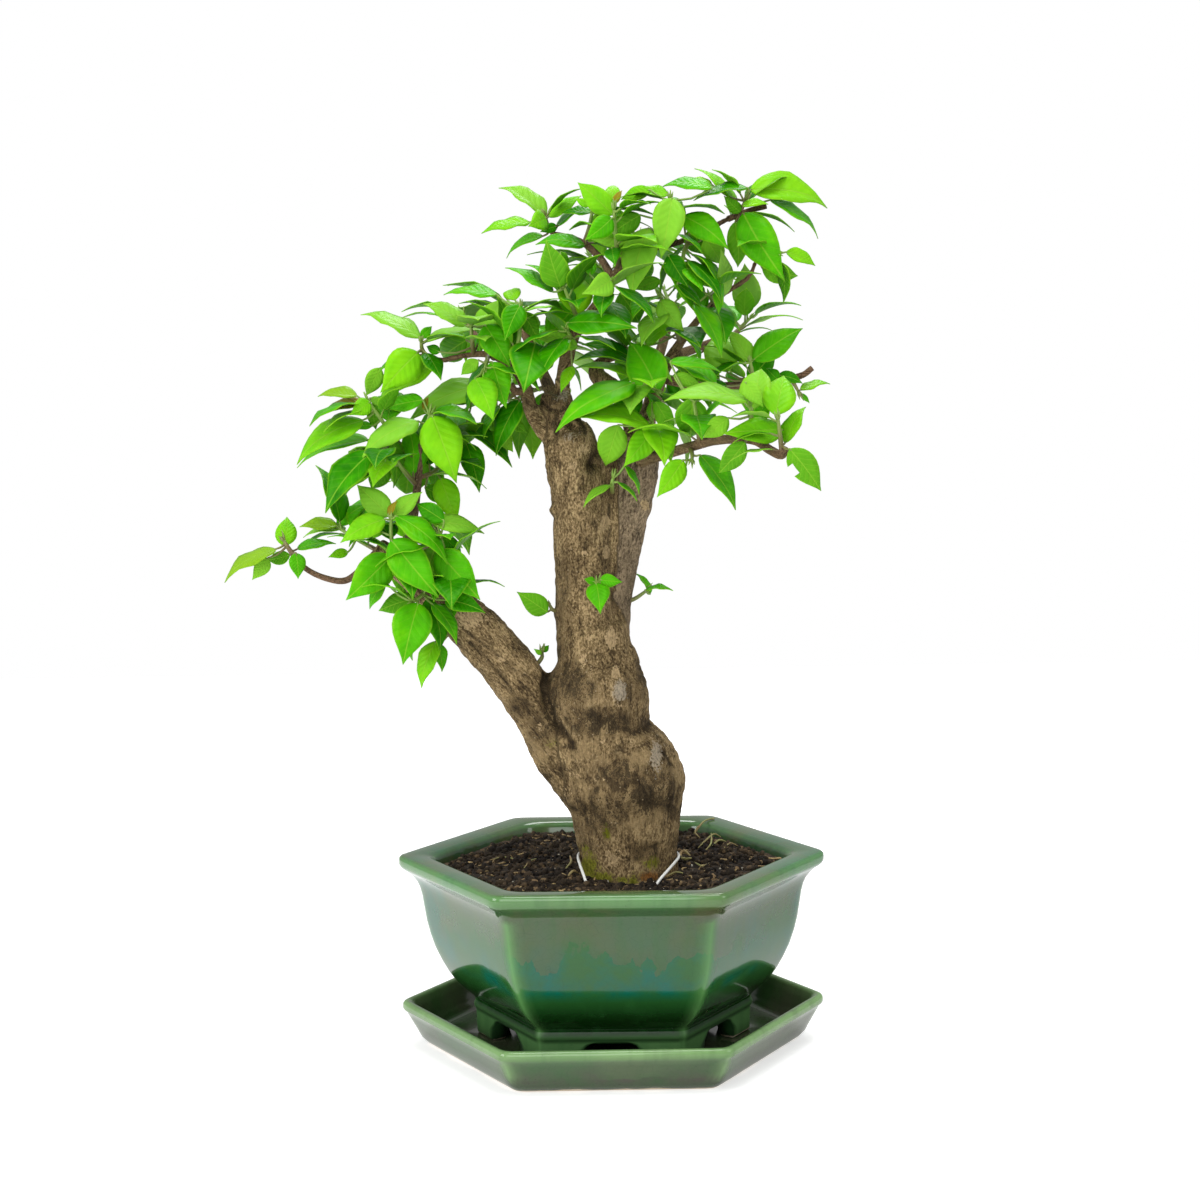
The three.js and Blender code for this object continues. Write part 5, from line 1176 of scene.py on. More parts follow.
def bark_material():
    """Brown bark: granular and fibrous, with ragged dark stains and painted shade, cream flakes and some
    painted light, ash-grey scars and moss.
    """
    material, nodes, links, finish = new_material("bark")
    flow = attribute(nodes, "grain")["Vector"]
    marks = attribute(nodes, "marks")
    extras = attribute(nodes, "extras")
    dark_cream_grey = parts_of(marks["Color"], "ShaderNodeSeparateColor")
    rust_young_ash = parts_of(extras["Color"], "ShaderNodeSeparateColor")
    weathered = extras["Alpha"]
    grit = noise_field(flow, 1000, 3, 0.65, 0.6, 0.3)
    fibre = noise_field(flow, 430, 4, 0.6, 0.16, 0.7)
    mottle = noise_field(flow, 150, 5, 0.65, 0.6, 0.3)
    drift = noise_field(flow, 38, 3, 0.5)
    tone = plus(times(grit, 1.7), times(mottle, 0.8))
    tone = plus(plus(tone, times(fibre, 0.6)), times(drift, 0.5))
    body = mixed(ranged(tone, 1.5, 1.88), BARK_SHADOW, BARK_BROWN)
    body = mixed(ranged(tone, 1.84, 2.12), body, BARK_PALE)
    ashen = mixed(ranged(tone, 1.45, 2.05), ASH_SHADOW, ASH_GREY)
    body = mixed(ranged(rust_young_ash["Blue"], 0, 1, 0, 0.75), body, ashen)
    body = mixed(rust_young_ash["Green"], body, YOUNG_BARK)
    blotch = noise_field(flow, 95, 5, 0.62, 0.8, 0.5)
    body = mixed(times(ranged(blotch, 0.52, 0.6, 0, 0.5), weathered), body, WORN_PALE)
    body = mixed(times(ranged(blotch, 0.48, 0.4, 0, 0.7), weathered), body, WORN_BLACK)
    body = mixed(ranged(fibre, 0.41, 0.34, 0, 0.55), body, CRACK_AND_SHADE_BLACK)
    ragged = ranged(plus(grit, mottle), 0.75, 1.25, -0.5, 0.5)
    # The dark marks are partly painted shade and the cream marks partly painted light.
    for mask, noisiness, softness, colour, strength in (
        (dark_cream_grey["Red"], 2.2, 0.13, CRACK_AND_SHADE_BLACK, 0.85),
        (dark_cream_grey["Green"], 0.5, 0.06, FLAKE_AND_LIGHT_CREAM, 0.9),
        (dark_cream_grey["Blue"], 0.7, 0.1, SCAR_GREY, 0.8),
        (marks["Alpha"], 0.8, 0.2, MOSS_GREEN, 0.85),
        (rust_young_ash["Red"], 0.9, 0.2, RUST_BROWN, 0.75),
    ):
        shown = ranged(plus(mask, times(ragged, noisiness)), 0.5 - softness, 0.5 + softness, 0, strength)
        shown = times(shown, ranged(mask, 0.02, 0.3))
        shaded = tuple(0.5 * part for part in colour)
        body = mixed(shown, body, mixed(ranged(grit, 0.35, 0.6), shaded, colour))
    specks = nodes.new("ShaderNodeTexVoronoi")
    specks.inputs["Scale"].default_value = 400
    links.new(flow, specks.inputs["Vector"])
    chance = parts_of(specks.outputs["Color"], "ShaderNodeSeparateColor")["Red"]
    speck = times(ranged(specks.outputs["Distance"], 0.22, 0.12), ranged(chance, 0.75, 0.8, 0, 0.6))
    links.new(mixed(speck, body, SPECK_TAN), finish.inputs["Base Color"])
    finish.inputs["Roughness"].default_value = 0.85
    finish.inputs["Specular IOR Level"].default_value = 0.15
    bumped(finish, plus(grit, times(fibre, 0.8)), 1, 0.0016)
    return material


def make_wood():
    thick = [TRUNK, MAIN_STEM, MAIN_STUB, FRONT_SCAR, FORK_FILLET, RIGHT_STEM, BOUGH]
    skinned_limbs = thick + [BRANCHES[name] for name in SKINNED_BRANCHES]
    rods = bmesh.new()
    for stations in skinned_limbs:
        limb_rod(rods, stations, LIMB_SIDES, 4)
    skin = skinned(rods)
    bark_the_skin(skin, skinned_limbs)
    bark = bark_material()
    wood = mesh_object("bark_skin", skin, bark)
    twig_rods = bmesh.new()
    for name, stations in BRANCHES.items():
        if name not in SKINNED_BRANCHES:
            limb_rod(twig_rods, stations, TWIG_SIDES, 5)
    bark_the_skin(twig_rods, list(BRANCHES.values()))
    twigs = mesh_object("twigs", twig_rods, bark)
    for piece in (wood, twigs):
        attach(piece, "root")
    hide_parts("trunk_wood")


make_wood()


# Anchor wire: thin white coated wire, bent round the foot of the trunk to hold it while it roots, with
# both ends pushed into the soil. Stations: sheet place and depth.
WIRE_STATIONS = [
    (587, 885, -52), (583.5, 875, -46), (580, 865, -37), (578, 857, -26), (581, 852, -12), (592, 849, 6),
    (630, 846, 18), (668, 849, 6), (677, 853, -12), (678.5, 857, -26), (675, 862, -36), (669, 869, -43),
    (661, 878, -49), (656, 885, -52),
]
WIRE_RADIUS = 0.0008


def lay_wire():
    coating = plain_matter("white_coating", (0.78, 0.79, 0.77), (0.66, 0.66, 0.62), 300, 0.35)
    bm = bmesh.new()
    line = smooth_curve([plot(u, v, depth) for u, v, depth in WIRE_STATIONS], 6)
    thin_rod(bm, line, [WIRE_RADIUS] * len(line), 14)
    wire = mesh_object("anchor_wire_coated", bm, coating)
    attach(wire, "root")
    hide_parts("anchor_wire")


lay_wire()


# Leafy shoots: soft green stems with one leaf at each joint. Every leaf is a heart-oval blade with a
# drawn-out tip on a short stalk. Each shoot: the sheet places and depths of its stem, a tone for each
# leaf, and a row for each leaf: sheet places of the blade's base and tip, width, lean in depth.
FRONT_SHOOTS = {
    "boughTwigTip": ([(293, 555, -32), (287, 546, -32), (284, 541, -31)], "bypdmm", [
        (284, 546, 287, 516, 22, 1), (276, 549, 222, 578, 14, -1), (268, 558, 252, 580, 16, -1),
        (290, 555, 267, 560, 14, 1), (296, 553, 298, 579, 17, -1), (297, 549, 336, 542, 10, 1),
    ]),
    "boughEndBack": ([(380, 552, -26), (358, 540, -12), (340, 529, -6)], "pymdb", [
        (345, 528, 302, 535, 8, 1), (337, 526, 299, 525, 13, 1), (337, 525, 368, 503, 16, 1),
        (362, 533, 348, 546, 5, -1), (348, 552, 328, 557, 10, -1),
    ]),
    "boughEndFront": ([(402, 572, -28), (396, 556, -44), (391, 535, -50), (391, 519, -48)], "mmbmppr", [
        (391, 540, 438, 597, 38, -1), (391, 556, 346, 600, 36, -1), (385, 519, 340, 542, 24, -1),
        (396, 516, 450, 560, 22, -1), (390, 516, 356, 484, 26, 1), (393, 517, 422, 491, 18, 1),
        (388, 515, 397, 500, 7, 1),
    ]),
    "boughUnderLeaves": ([(424, 588, -26), (423, 594, -44), (413, 602, -52)], "mmddm", [
        (418, 603, 403, 664, 40, -1), (432, 604, 458, 643, 16, -1), (445, 600, 485, 612, 20, -1),
        (415, 598, 378, 611, 22, 1), (385, 582, 368, 609, 12, 1),
    ]),
    "boughRightSpray": ([(446, 604, -24), (450, 580, -36), (446, 556, -44), (440, 536, -46)], "mpmd", [
        (437, 551, 480, 600, 35, -1), (432, 522, 485, 532, 18, 1), (440, 535, 463, 560, 14, 1),
        (444, 521, 415, 503, 20, 1),
    ]),
    "boughThornLeaves": ([(456, 617, -26), (446, 636, -34), (440, 642, -36)], "bm", [
        (436, 641, 419, 687, 20, -1), (437, 643, 443, 672, 13, -1),
    ]),
    "riserTip": ([(420, 450, -18), (424, 432, -24), (430, 414, -26)], "bmpmmr", [
        (432, 416, 456, 482, 42, -1), (415, 440, 405, 499, 42, 1), (418, 421, 360, 455, 24, -1),
        (423, 400, 383, 408, 17, 1), (435, 412, 472, 413, 8, 1), (424, 410, 428, 396, 6, 1),
    ]),
    "riserMiddle": ([(419, 478, -20), (436, 470, -8), (448, 452, -2), (462, 436, 2)], "bddddd", [
        (440, 478, 457, 525, 26, -1), (437, 470, 437, 500, 8, 1), (425, 488, 455, 500, 18, 1),
        (463, 425, 513, 466, 16, -1), (466, 443, 480, 492, 24, -1), (472, 400, 440, 405, 10, 1),
    ]),
    "leftSprayLow": ([(417, 486, -20), (403, 470, -30), (390, 452, -36), (378, 446, -38)], "dddd", [
        (372, 452, 324, 512, 30, -1), (388, 445, 342, 494, 20, 1), (388, 465, 371, 489, 22, 1),
        (392, 440, 394, 488, 16, 1),
    ]),
    "leftSprayHigh": ([(419, 462, -19), (396, 440, -22), (380, 418, -26), (368, 402, -26)], "bmmyrbmp", [
        (363, 420, 294, 459, 24, -1), (368, 440, 295, 464, 12, 1), (372, 426, 350, 428, 8, 1),
        (357, 396, 317, 394, 11, 1), (362, 402, 320, 412, 11, 1), (370, 402, 350, 415, 18, -1),
        (372, 404, 376, 430, 13, 1), (370, 398, 386, 408, 9, 1),
    ]),
    "leftTopTip": ([(425, 355, -8), (422, 349, -16), (421, 342, -20)], "bpbmpb", [
        (418, 352, 381, 392, 36, -1), (420, 338, 362, 309, 16, 1), (434, 366, 375, 399, 22, 1),
        (421, 338, 432, 326, 10, 1), (425, 342, 490, 329, 8, 1), (380, 368, 366, 396, 18, 1),
    ]),
    "leftTopHeart": ([(474, 355, -16), (472, 342, -22), (471, 326, -22)], "mdppd", [
        (485, 325, 510, 367, 30, -1), (466, 340, 440, 358, 28, 1), (474, 326, 527, 303, 22, 1),
        (466, 326, 423, 302, 18, 1), (440, 352, 426, 346, 10, 1),
    ]),
    "leftTopHanging": ([(488, 354, -18), (487, 361, -30), (485, 368, -36)], "mbb", [
        (492, 362, 506, 408, 28, -1), (475, 378, 493, 420, 30, -1), (478, 360, 461, 375, 14, 1),
    ]),
    "leftForkSpray": ([(510, 366, -21), (518, 345, -32), (520, 318, -34), (520, 308, -33)], "dddmb", [
        (535, 343, 524, 390, 46, -1), (520, 305, 505, 340, 25, -1), (522, 312, 538, 340, 18, 1),
        (497, 295, 443, 291, 11, 1), (515, 300, 511, 288, 18, 1),
    ]),
    "underLeftTop": ([(518, 391, -24), (508, 398, -14), (496, 400, -6)], "dpmbm", [
        (520, 400, 494, 455, 24, -1), (487, 384, 406, 418, 26, -1), (490, 412, 488, 445, 14, 1),
        (500, 432, 513, 452, 14, 1), (508, 418, 527, 433, 12, 1),
    ]),
    "topLeftTip": ([(553, 234, 4), (548, 226, 3), (545, 216, 2)], "pbbbmd", [
        (546, 216, 500, 184, 16, 1), (548, 217, 581, 195, 14, 1), (546, 218, 529, 226, 22, -1),
        (530, 222, 481, 231, 11, -1), (543, 236, 504, 255, 8, 1), (557, 226, 540, 232, 10, -1),
    ]),
    "topLeftMiddle": ([(584, 244, -4), (589, 228, -10), (592, 212, -12)], "mdb", [
        (585, 245, 536, 241, 14, -1), (592, 212, 560, 212, 8, 1), (590, 206, 575, 198, 8, 1),
    ]),
    "leaderLow": ([(580, 326, -17), (572, 306, -30), (564, 288, -33)], "mmmmdd", [
        (560, 287, 546, 240, 30, -1), (548, 338, 588, 297, 34, 1), (553, 292, 506, 265, 11, 1),
        (558, 290, 527, 262, 9, 1), (568, 283, 588, 261, 8, 1), (560, 252, 568, 266, 10, 1),
    ]),
    "leaderLowFront": ([(571, 342, -17), (570, 336, -32), (567, 330, -40)], "dpb", [
        (567, 323, 637, 327, 24, -1), (578, 346, 531, 335, 18, -1), (572, 366, 560, 392, 12, 1),
    ]),
    "topCentre": ([(618, 270, -18), (616, 240, -26), (614, 210, -28)], "mbbdr", [
        (612, 218, 585, 240, 22, -1), (613, 215, 577, 182, 24, 1), (612, 205, 614, 183, 16, 1),
        (612, 248, 615, 264, 18, -1), (614, 203, 622, 190, 7, 1),
    ]),
    "topRight": ([(665, 246, -12), (669, 222, -24), (670, 200, -26)], "ppmbbmp", [
        (672, 198, 661, 258, 32, -1), (648, 228, 631, 297, 34, -1), (640, 215, 606, 238, 22, 1),
        (650, 190, 620, 199, 14, 1), (668, 195, 633, 190, 12, 1), (712, 188, 661, 184, 12, 1),
        (628, 240, 590, 239, 18, 1),
    ]),
    "topFarRight": ([(739, 214, -6), (742, 208, -10), (745, 201, -11)], "mbmbddbpm", [
        (743, 213, 785, 280, 38, -1), (750, 190, 830, 203, 28, 1), (735, 222, 738, 268, 22, 1),
        (737, 205, 697, 165, 9, 1), (748, 188, 693, 199, 9, 1), (740, 212, 724, 196, 13, 1),
        (742, 205, 768, 203, 8, -1), (712, 185, 687, 179, 7, 1), (770, 200, 822, 234, 10, 1),
    ]),
    "leaderRightDrop": ([(690, 237, -9), (684, 252, -22), (682, 266, -26)], "mddmbd", [
        (683, 216, 729, 249, 26, -1), (690, 228, 705, 255, 26, 1), (668, 255, 688, 287, 22, -1),
        (685, 262, 712, 288, 18, 1), (705, 238, 722, 265, 22, 1), (677, 284, 703, 307, 10, 1),
    ]),
    "rightRiserTip": ([(756, 262, -4), (762, 254, -8), (770, 250, -14), (776, 252, -18)], "mbp", [
        (762, 268, 798, 276, 22, 1), (786, 252, 816, 265, 13, 1), (760, 262, 757, 243, 10, 1),
    ]),
    "rightRiserMiddle": ([(713, 303, 1), (711, 298, -10), (708, 294, -16)], "mmpmmm", [
        (703, 312, 661, 262, 24, -1), (706, 308, 689, 285, 18, 1), (724, 295, 721, 249, 16, 1),
        (700, 315, 742, 328, 8, 1), (715, 292, 719, 314, 9, -1), (694, 303, 723, 357, 18, -1),
    ]),
    "rightInner": ([(680, 343, 13), (674, 324, 0), (666, 306, -8), (660, 296, -10)], "pbdmm", [
        (660, 300, 684, 332, 22, -1), (645, 345, 678, 322, 14, -1), (620, 293, 640, 325, 30, 1),
        (660, 280, 635, 290, 14, 1), (683, 330, 703, 364, 6, -1),
    ]),
    "centreRound": ([(602, 298, -18), (606, 290, -34), (610, 283, -38)], "pm", [
        (611, 280, 584, 293, 24, -1), (590, 275, 592, 258, 12, 1),
    ]),
    "centreDark": ([(629, 352, 12), (634, 356, 2), (634, 362, -4)], "dd", [
        (630, 357, 582, 343, 16, 1), (630, 364, 575, 358, 8, -1),
    ]),
    "stemTopSpray": ([(655, 437, -27), (653, 428, -38), (652, 420, -44)], "bbmbm", [
        (650, 425, 570, 414, 20, -1), (652, 430, 624, 466, 26, -1), (655, 402, 672, 440, 18, 1),
        (618, 425, 605, 467, 30, 1), (652, 402, 652, 425, 8, 1),
    ]),
    "centreHeart": ([(619, 394, 0), (632, 386, -16), (645, 384, -28), (655, 390, -34)], "mmmbp", [
        (658, 392, 628, 340, 42, 1), (634, 383, 554, 424, 26, -1), (634, 378, 601, 400, 6, -1),
        (635, 378, 568, 367, 8, 1), (640, 390, 617, 392, 10, -1),
    ]),
    "nearMiddle": ([(700, 445, -63), (697, 422, -72), (694, 402, -76)], "mmbm", [
        (692, 398, 690, 440, 34, 1), (670, 362, 722, 370, 10, 1), (674, 376, 700, 384, 14, 1),
        (716, 384, 670, 362, 14, 1),
    ]),
    "nearEnd": ([(752, 440, -94), (752, 424, -102), (750, 406, -106)], "pbbpm", [
        (748, 400, 665, 396, 18, -1), (783, 430, 723, 433, 26, -1), (728, 418, 703, 438, 20, 1),
        (745, 382, 763, 407, 18, -1), (745, 442, 718, 474, 22, 1),
    ]),
    "nearTip": ([(782, 453, -109), (780, 436, -112), (778, 420, -112)], "bbm", [
        (775, 415, 784, 374, 34, 1), (785, 443, 804, 404, 17, 1), (790, 449, 821, 491, 28, -1),
    ]),
    "nearUnder": ([(690, 447, -55), (692, 454, -64), (692, 459, -68)], "mb", [
        (700, 455, 738, 508, 22, -1), (683, 460, 657, 497, 24, -1),
    ]),
    "rightSpanLeaves": ([(748, 385, 12), (752, 374, 2), (750, 361, -4)], "mpdpdd", [
        (753, 360, 803, 327, 28, 1), (727, 372, 717, 331, 36, 1), (748, 380, 776, 347, 22, 1),
        (750, 362, 727, 329, 18, 1), (720, 376, 698, 376, 8, 1), (727, 386, 700, 384, 8, 1),
    ]),
    "rightSpanTip": ([(790, 378, 8), (794, 384, 4), (798, 391, 2)], "ddbm", [
        (778, 380, 766, 368, 14, 1), (778, 375, 803, 383, 12, 1), (800, 390, 830, 381, 8, 1),
        (800, 394, 810, 403, 5, 1),
    ]),
    "sproutLeft": ([(562, 612, -22), (553, 610, -26), (550, 606, -27)], "m", [
        (547, 612, 517, 592, 22, -1),
    ]),
    "sproutFront": ([(592, 600, -22), (597, 590, -40), (598, 584, -43)], "mmm", [
        (596, 583, 600, 612, 24, -1), (600, 580, 622, 582, 14, -1), (595, 582, 584, 579, 8, 1),
    ]),
    "sproutRight": ([(618, 604, -12), (634, 599, -12), (646, 591, -12)], "mm", [
        (645, 590, 673, 589, 5, -1), (650, 594, 635, 572, 6, 1),
    ]),
    "sproutBough": ([(530, 672, -20), (541, 659, -20), (542, 653, -20)], "mm", [
        (541, 654, 534, 649, 5, -1), (543, 652, 549, 645, 6, 1),
    ]),
    "sproutHigh": ([(612, 496, -16), (612, 484, -34), (613, 478, -36)], "pmm", [
        (610, 485, 582, 505, 8, -1), (618, 482, 638, 500, 4, -1), (625, 465, 641, 493, 6, -1),
    ]),
}
# The shoots of the back, which the photograph hides: stem, and how many leaves turn round it.
BACK_SHOOTS = {
    "backLeftTip": ([(519, 324, 68), (512, 310, 82), (508, 300, 90)], 5),
    "backLeftMiddle": ([(536, 357, 43), (552, 348, 60), (560, 334, 72)], 5),
    "backLeftLow": ([(548, 386, 20), (530, 392, 34), (514, 400, 44)], 4),
    "backRightTip": ([(673, 314, 87), (668, 300, 100), (664, 290, 106)], 5),
    "backRightMiddle": ([(660, 354, 61), (640, 348, 74), (624, 340, 82)], 5),
    "backRightLow": ([(651, 398, 34), (668, 402, 48), (684, 408, 58)], 4),
    "backTopTip": ([(625, 264, 54), (634, 248, 64), (640, 236, 70)], 5),
    "backTopMiddle": ([(613, 281, 22), (600, 268, 34), (590, 256, 42)], 4),
    "boughBackTip": ([(438, 512, 33), (440, 498, 46), (440, 488, 54)], 5),
    "boughBackLow": ([(432, 550, 5), (416, 548, 22), (402, 544, 32)], 4),
    "farRightTip": ([(731, 337, 80), (742, 326, 90), (750, 318, 95)], 5),
    "farRightMiddle": ([(703, 346, 48), (716, 360, 56), (728, 368, 62)], 4),
    "upperLeftTip": ([(473, 333, 46), (466, 322, 58), (462, 314, 64)], 5),
}
# This leaf, which stood up over the crown, has gone limp and leans back.
DROOPING_LEAF = ("upperLeftTip", 2)
DROOP = Matrix.Rotation(math.radians(-100), 3, "X")
# This leaf has been eaten into at one place of its grid: row, column.
BITTEN_LEAF = ("nearTip", 2)
BITES = [(5, 4)]
# How light, how pale and how red a leaf of each tone is: deep, middle, bright, pale, yellowish, reddish. On
# the front leaves, whose tones were read off the sheet, the lightness is partly painted light and shade, and
# the pale tone is partly a painted sheen, the reflection of the bright surround.
TONES = {
    "d": (0.12, 0.0, 0.0), "m": (0.45, 0.05, 0.0), "b": (0.85, 0.15, 0.0), "p": (0.55, 0.7, 0.0),
    "y": (0.8, 0.35, 0.3), "r": (0.5, 0.2, 0.85),
}
BACK_TONES = "mdbmpmbdmbpm"
GOLDEN_TURN = math.pi * (3 - math.sqrt(5))
BACK_SEED = 20
LOOK_SEED = 11
PETIOLE_LENGTH = 6
LONGEST_LEAF = 52
FULL_WIDTH = 0.6
SLIM_WIDTH = 0.48
BLADE_ARCH = 0.07
BLADE_FOLD = 0.22
# Where the outline of a solid blade turns: share of its length, and the share of its half width there.
SOLID_HALF_WIDTHS = {0.13: 0.6, 0.3: 0.96, 0.4: 1, 0.66: 0.62, 0.76: 0.44}
# Half the blade's width at shares of its length.
BLADE_OUTLINE = [
    (0, 0.05), (0.03, 0.3), (0.08, 0.55), (0.15, 0.78), (0.24, 0.94), (0.34, 1), (0.46, 0.97), (0.58, 0.84),
    (0.7, 0.62), (0.81, 0.37), (0.91, 0.15), (1, 0.01),
]
BLADE_COLUMNS = (-1, -0.55, 0, 0.55, 1)
BLADE_THICKNESS = 0.0004
# Radius at the root, and how much of it is lost by the end, in metres.
STALK_RADIUS = 0.00075
STALK_TAPER = 0.0003
STEM_THICK = 0.0015
STEM_TAPER = 0.0006
GREEN_FROM = 0.03
# Shares of a blade's length: waves of its margin, how far its tip hangs from this far up, how far its
# rib bends aside. Then how much of the fold it has, how far its lightness strays, its curled margin.
BLADE_WAVE = (0.01, 0.035)
BLADE_DROOP = (0.02, 0.1)
DROOP_FROM = 0.6
BLADE_SWAY = (-0.035, 0.035)
LEAST_FOLD = 0.6
MORE_FOLD = 1.5
LIGHT_DRIFT = (-0.1, 0.1)
MARGIN_CURL = 0.12
# The two margins wave so often, a little out of step.
WAVES = 12
OUT_OF_STEP = 1.4
# Leaves of the back: the first one's share of the stem, then turn, length in mm and width. One that has
# no room may turn further round the stem, or pitch up or down, or be smaller.
LOWEST_LEAF = 0.3
TURN_DRIFT = 0.6
LOW_LENGTH = 42
LENGTH_LOSS = 12
LENGTH_DRIFT = (0.85, 1.15)
BACK_WIDTH = (0.54, 0.64)
OTHER_TURNS = (0, 0.35, -0.35, 0.7, -0.7, 1.1, -1.1)
PITCH_AND_SIZE = ((0, 1), (0.6, 1), (-0.4, 1), (0.2, 0.75))
# A leaf needs this many corners of its solid, each within so many metres.
ENOUGH_CORNERS = 3
CORNER_REACH = 0.00005
# Young leaves in a bud, turned on by this much, and their lengths in metres.
BUD_LEAVES = 4
BUD_TURN = 1.6
BUD_LENGTH = (0.003, 0.0065)
# Inner leaves, in metres but for their lengths in mm: one for each spacing of the stem, clear of the others
# but with its tip within reach of one, after so many tries round the stem, and never foremost. Their tones
# lean to deep ones, as painted shade inside the crown.
INNER_SPACING = 0.0062
INNER_LENGTH = (20, 36)
INNER_WIDTH = (0.54, 0.66)
INNER_RISE = (-0.1, 0.6)
INNER_CLEAR = 0.005
INNER_REACH = 0.016
INNER_TRIES = 12
SPINE_SHARES = (0.1, 0.35, 0.6, 0.85, 1)
FOREMOST = -0.122
INNER_TONES = "dmdmbdmp"
# These shoots stand open, with no inner leaves.
OPEN_SHOOTS = (
    "sproutLeft", "sproutFront", "sproutRight", "sproutBough", "sproutHigh", "boughTwigTip",
    "boughThornLeaves", "nearUnder",
)


def depth_shifts():
    """How far in mm the base and the tip of a solid leaf may have been moved to clear its neighbours."""
    shifts = [(0, 0)]
    for step in range(1, 8):
        near = 2 * step
        far = 4 * step
        shifts += [(near, near), (0, far), (0, -far), (near, -near), (-near, near), (-near, -near)]
    return shifts


def nearest_on_stem(stem, u, v):
    """The place on a stem, seen on the sheet, that is nearest to a leaf's base."""
    best = None
    for index, (start, end) in enumerate(zip(stem, stem[1:])):
        kept = min(max(share_along(u, v, start, end), 0 if index else 0.5), 1)
        place = [start[axis] + kept * (end[axis] - start[axis]) for axis in range(3)]
        distance = math.hypot(u - place[0], v - place[1])
        if best is None or distance < best[0]:
            best = (distance, *place)
    return best


def sheet_leaf(stem, row, base_shift, tip_shift):
    """A leaf from its places on the sheet: root, base, tip, normal and width, in metres."""
    base_u, base_v, tip_u, tip_v, width_seen, lean = row
    distance, near_u, near_v, near_depth = nearest_on_stem(stem, base_u, base_v)
    unit = (near_depth - EYE.y * 1000) / FOCUS
    offset = max(2.5, PETIOLE_LENGTH - distance * unit)
    base_depth = near_depth + lean * offset + base_shift
    base = plot(base_u, base_v, base_depth)
    seen = (base - plot(tip_u, tip_v, base_depth)).length * 1000
    broad = width_seen * unit
    length = min(max(1.03 * seen, broad / FULL_WIDTH), LONGEST_LEAF)
    away = lean * math.sqrt(max(length**2 - seen**2, 0))
    tip = plot(tip_u, tip_v, base_depth + away + tip_shift)
    width = max(broad, SLIM_WIDTH * length)
    along = (tip - base).normalized()
    to_eye = (EYE - base).normalized()
    facing = (to_eye - along * to_eye.dot(along)).normalized()
    aside = along.cross(facing)
    share = min(broad / width, 1)
    tilt = math.sqrt(1 - share * share)
    normal = facing * share + aside * (tilt if aside.z > 0 else -tilt)
    return plot(near_u, near_v, near_depth), base, tip, normal, width / 1000


def centripetal_point(points, share):
    """A place on the smooth curve through three points, its spans timed by the root of their length."""
    run = (len(points) - 1) * share
    index = min(int(run), len(points) - 2)
    t = run - index
    before = points[index - 1] if index > 0 else 2 * points[0] - points[1]
    start, end = points[index], points[index + 1]
    after = points[index + 2] if index + 2 < len(points) else 2 * points[-1] - points[-2]
    first, middle, last = ((b - a).length ** 0.5 for a, b in ((before, start), (start, end), (end, after)))
    leave = ((start - before) / first - (end - before) / (first + middle) + (end - start) / middle) * middle
    arrive = ((end - start) / middle - (after - start) / (middle + last) + (after - end) / last) * middle
    square = -3 * start + 3 * end - 2 * leave - arrive
    cube = 2 * start - 2 * end + leave + arrive
    return start + leave * t + square * t * t + cube * t * t * t


def turned_leaves(points, index, count, draw):
    """The next leaf up a stem, turned on round it, with the other turns and pitches that it may take."""
    share = LOWEST_LEAF + (1 - LOWEST_LEAF) * index / (count - 1)
    root = centripetal_point(points, share)
    before = centripetal_point(points, max(share - 0.0001, 0))
    after = centripetal_point(points, min(share + 0.0001, 1))
    along = (after - before).normalized()
    across = along.cross(UP).normalized()
    third = across.cross(along)
    turn = index * GOLDEN_TURN + TURN_DRIFT * next(draw)
    length = (LOW_LENGTH - LENGTH_LOSS * share) * drawn(draw, *LENGTH_DRIFT) / 1000
    width = drawn(draw, *BACK_WIDTH) * length
    leaves = []
    for shift in OTHER_TURNS:
        for pitch, shrink in PITCH_AND_SIZE:
            angle = turn + shift
            out = across * math.cos(angle) + third * math.sin(angle)
            way = (out + along * (0.5 + pitch)).normalized()
            base = root + way * (PETIOLE_LENGTH / 1000)
            fall = (way - 0.3 * UP).normalized()
            leaves.append((root, base, base + fall * (length * shrink), UP + 0.35 * way, width * shrink))
    return leaves


def blade_axes(base, tip, normal):
    along = (tip - base).normalized()
    face = (normal - along * normal.dot(along)).normalized()
    return along, face, along.cross(face)


def corners_in_solid(leaf, corners):
    """How many of a leaf's corners are corners of its solid."""
    root, base, tip, normal, width = leaf
    along, face, side = blade_axes(base, tip, normal)
    length = (tip - base).length
    found = 0
    for share, half in SOLID_HALF_WIDTHS.items():
        rib = base.lerp(tip, share) + face * (4 * share * (1 - share) * BLADE_ARCH * length)
        reach = half * width / 2
        edge = rib + face * (BLADE_FOLD * reach)
        for place in (rib, edge + side * reach, edge - side * reach):
            found += corners.find(place)[2] < CORNER_REACH
    return found


def leaf_as_built(choices, corners):
    """The choice that the solid shows, or nothing where the solid has no room for the leaf."""
    scores = [corners_in_solid(leaf, corners) for leaf in choices]
    best = max(scores)
    return choices[scores.index(best)] if best >= ENOUGH_CORNERS else None


def tree_of(places):
    tree = kdtree.KDTree(len(places))
    for index, place in enumerate(places):
        tree.insert(place, index)
    tree.balance()
    return tree


def node_corners(node):
    return tree_of([vertex.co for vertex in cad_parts[node].data.vertices])


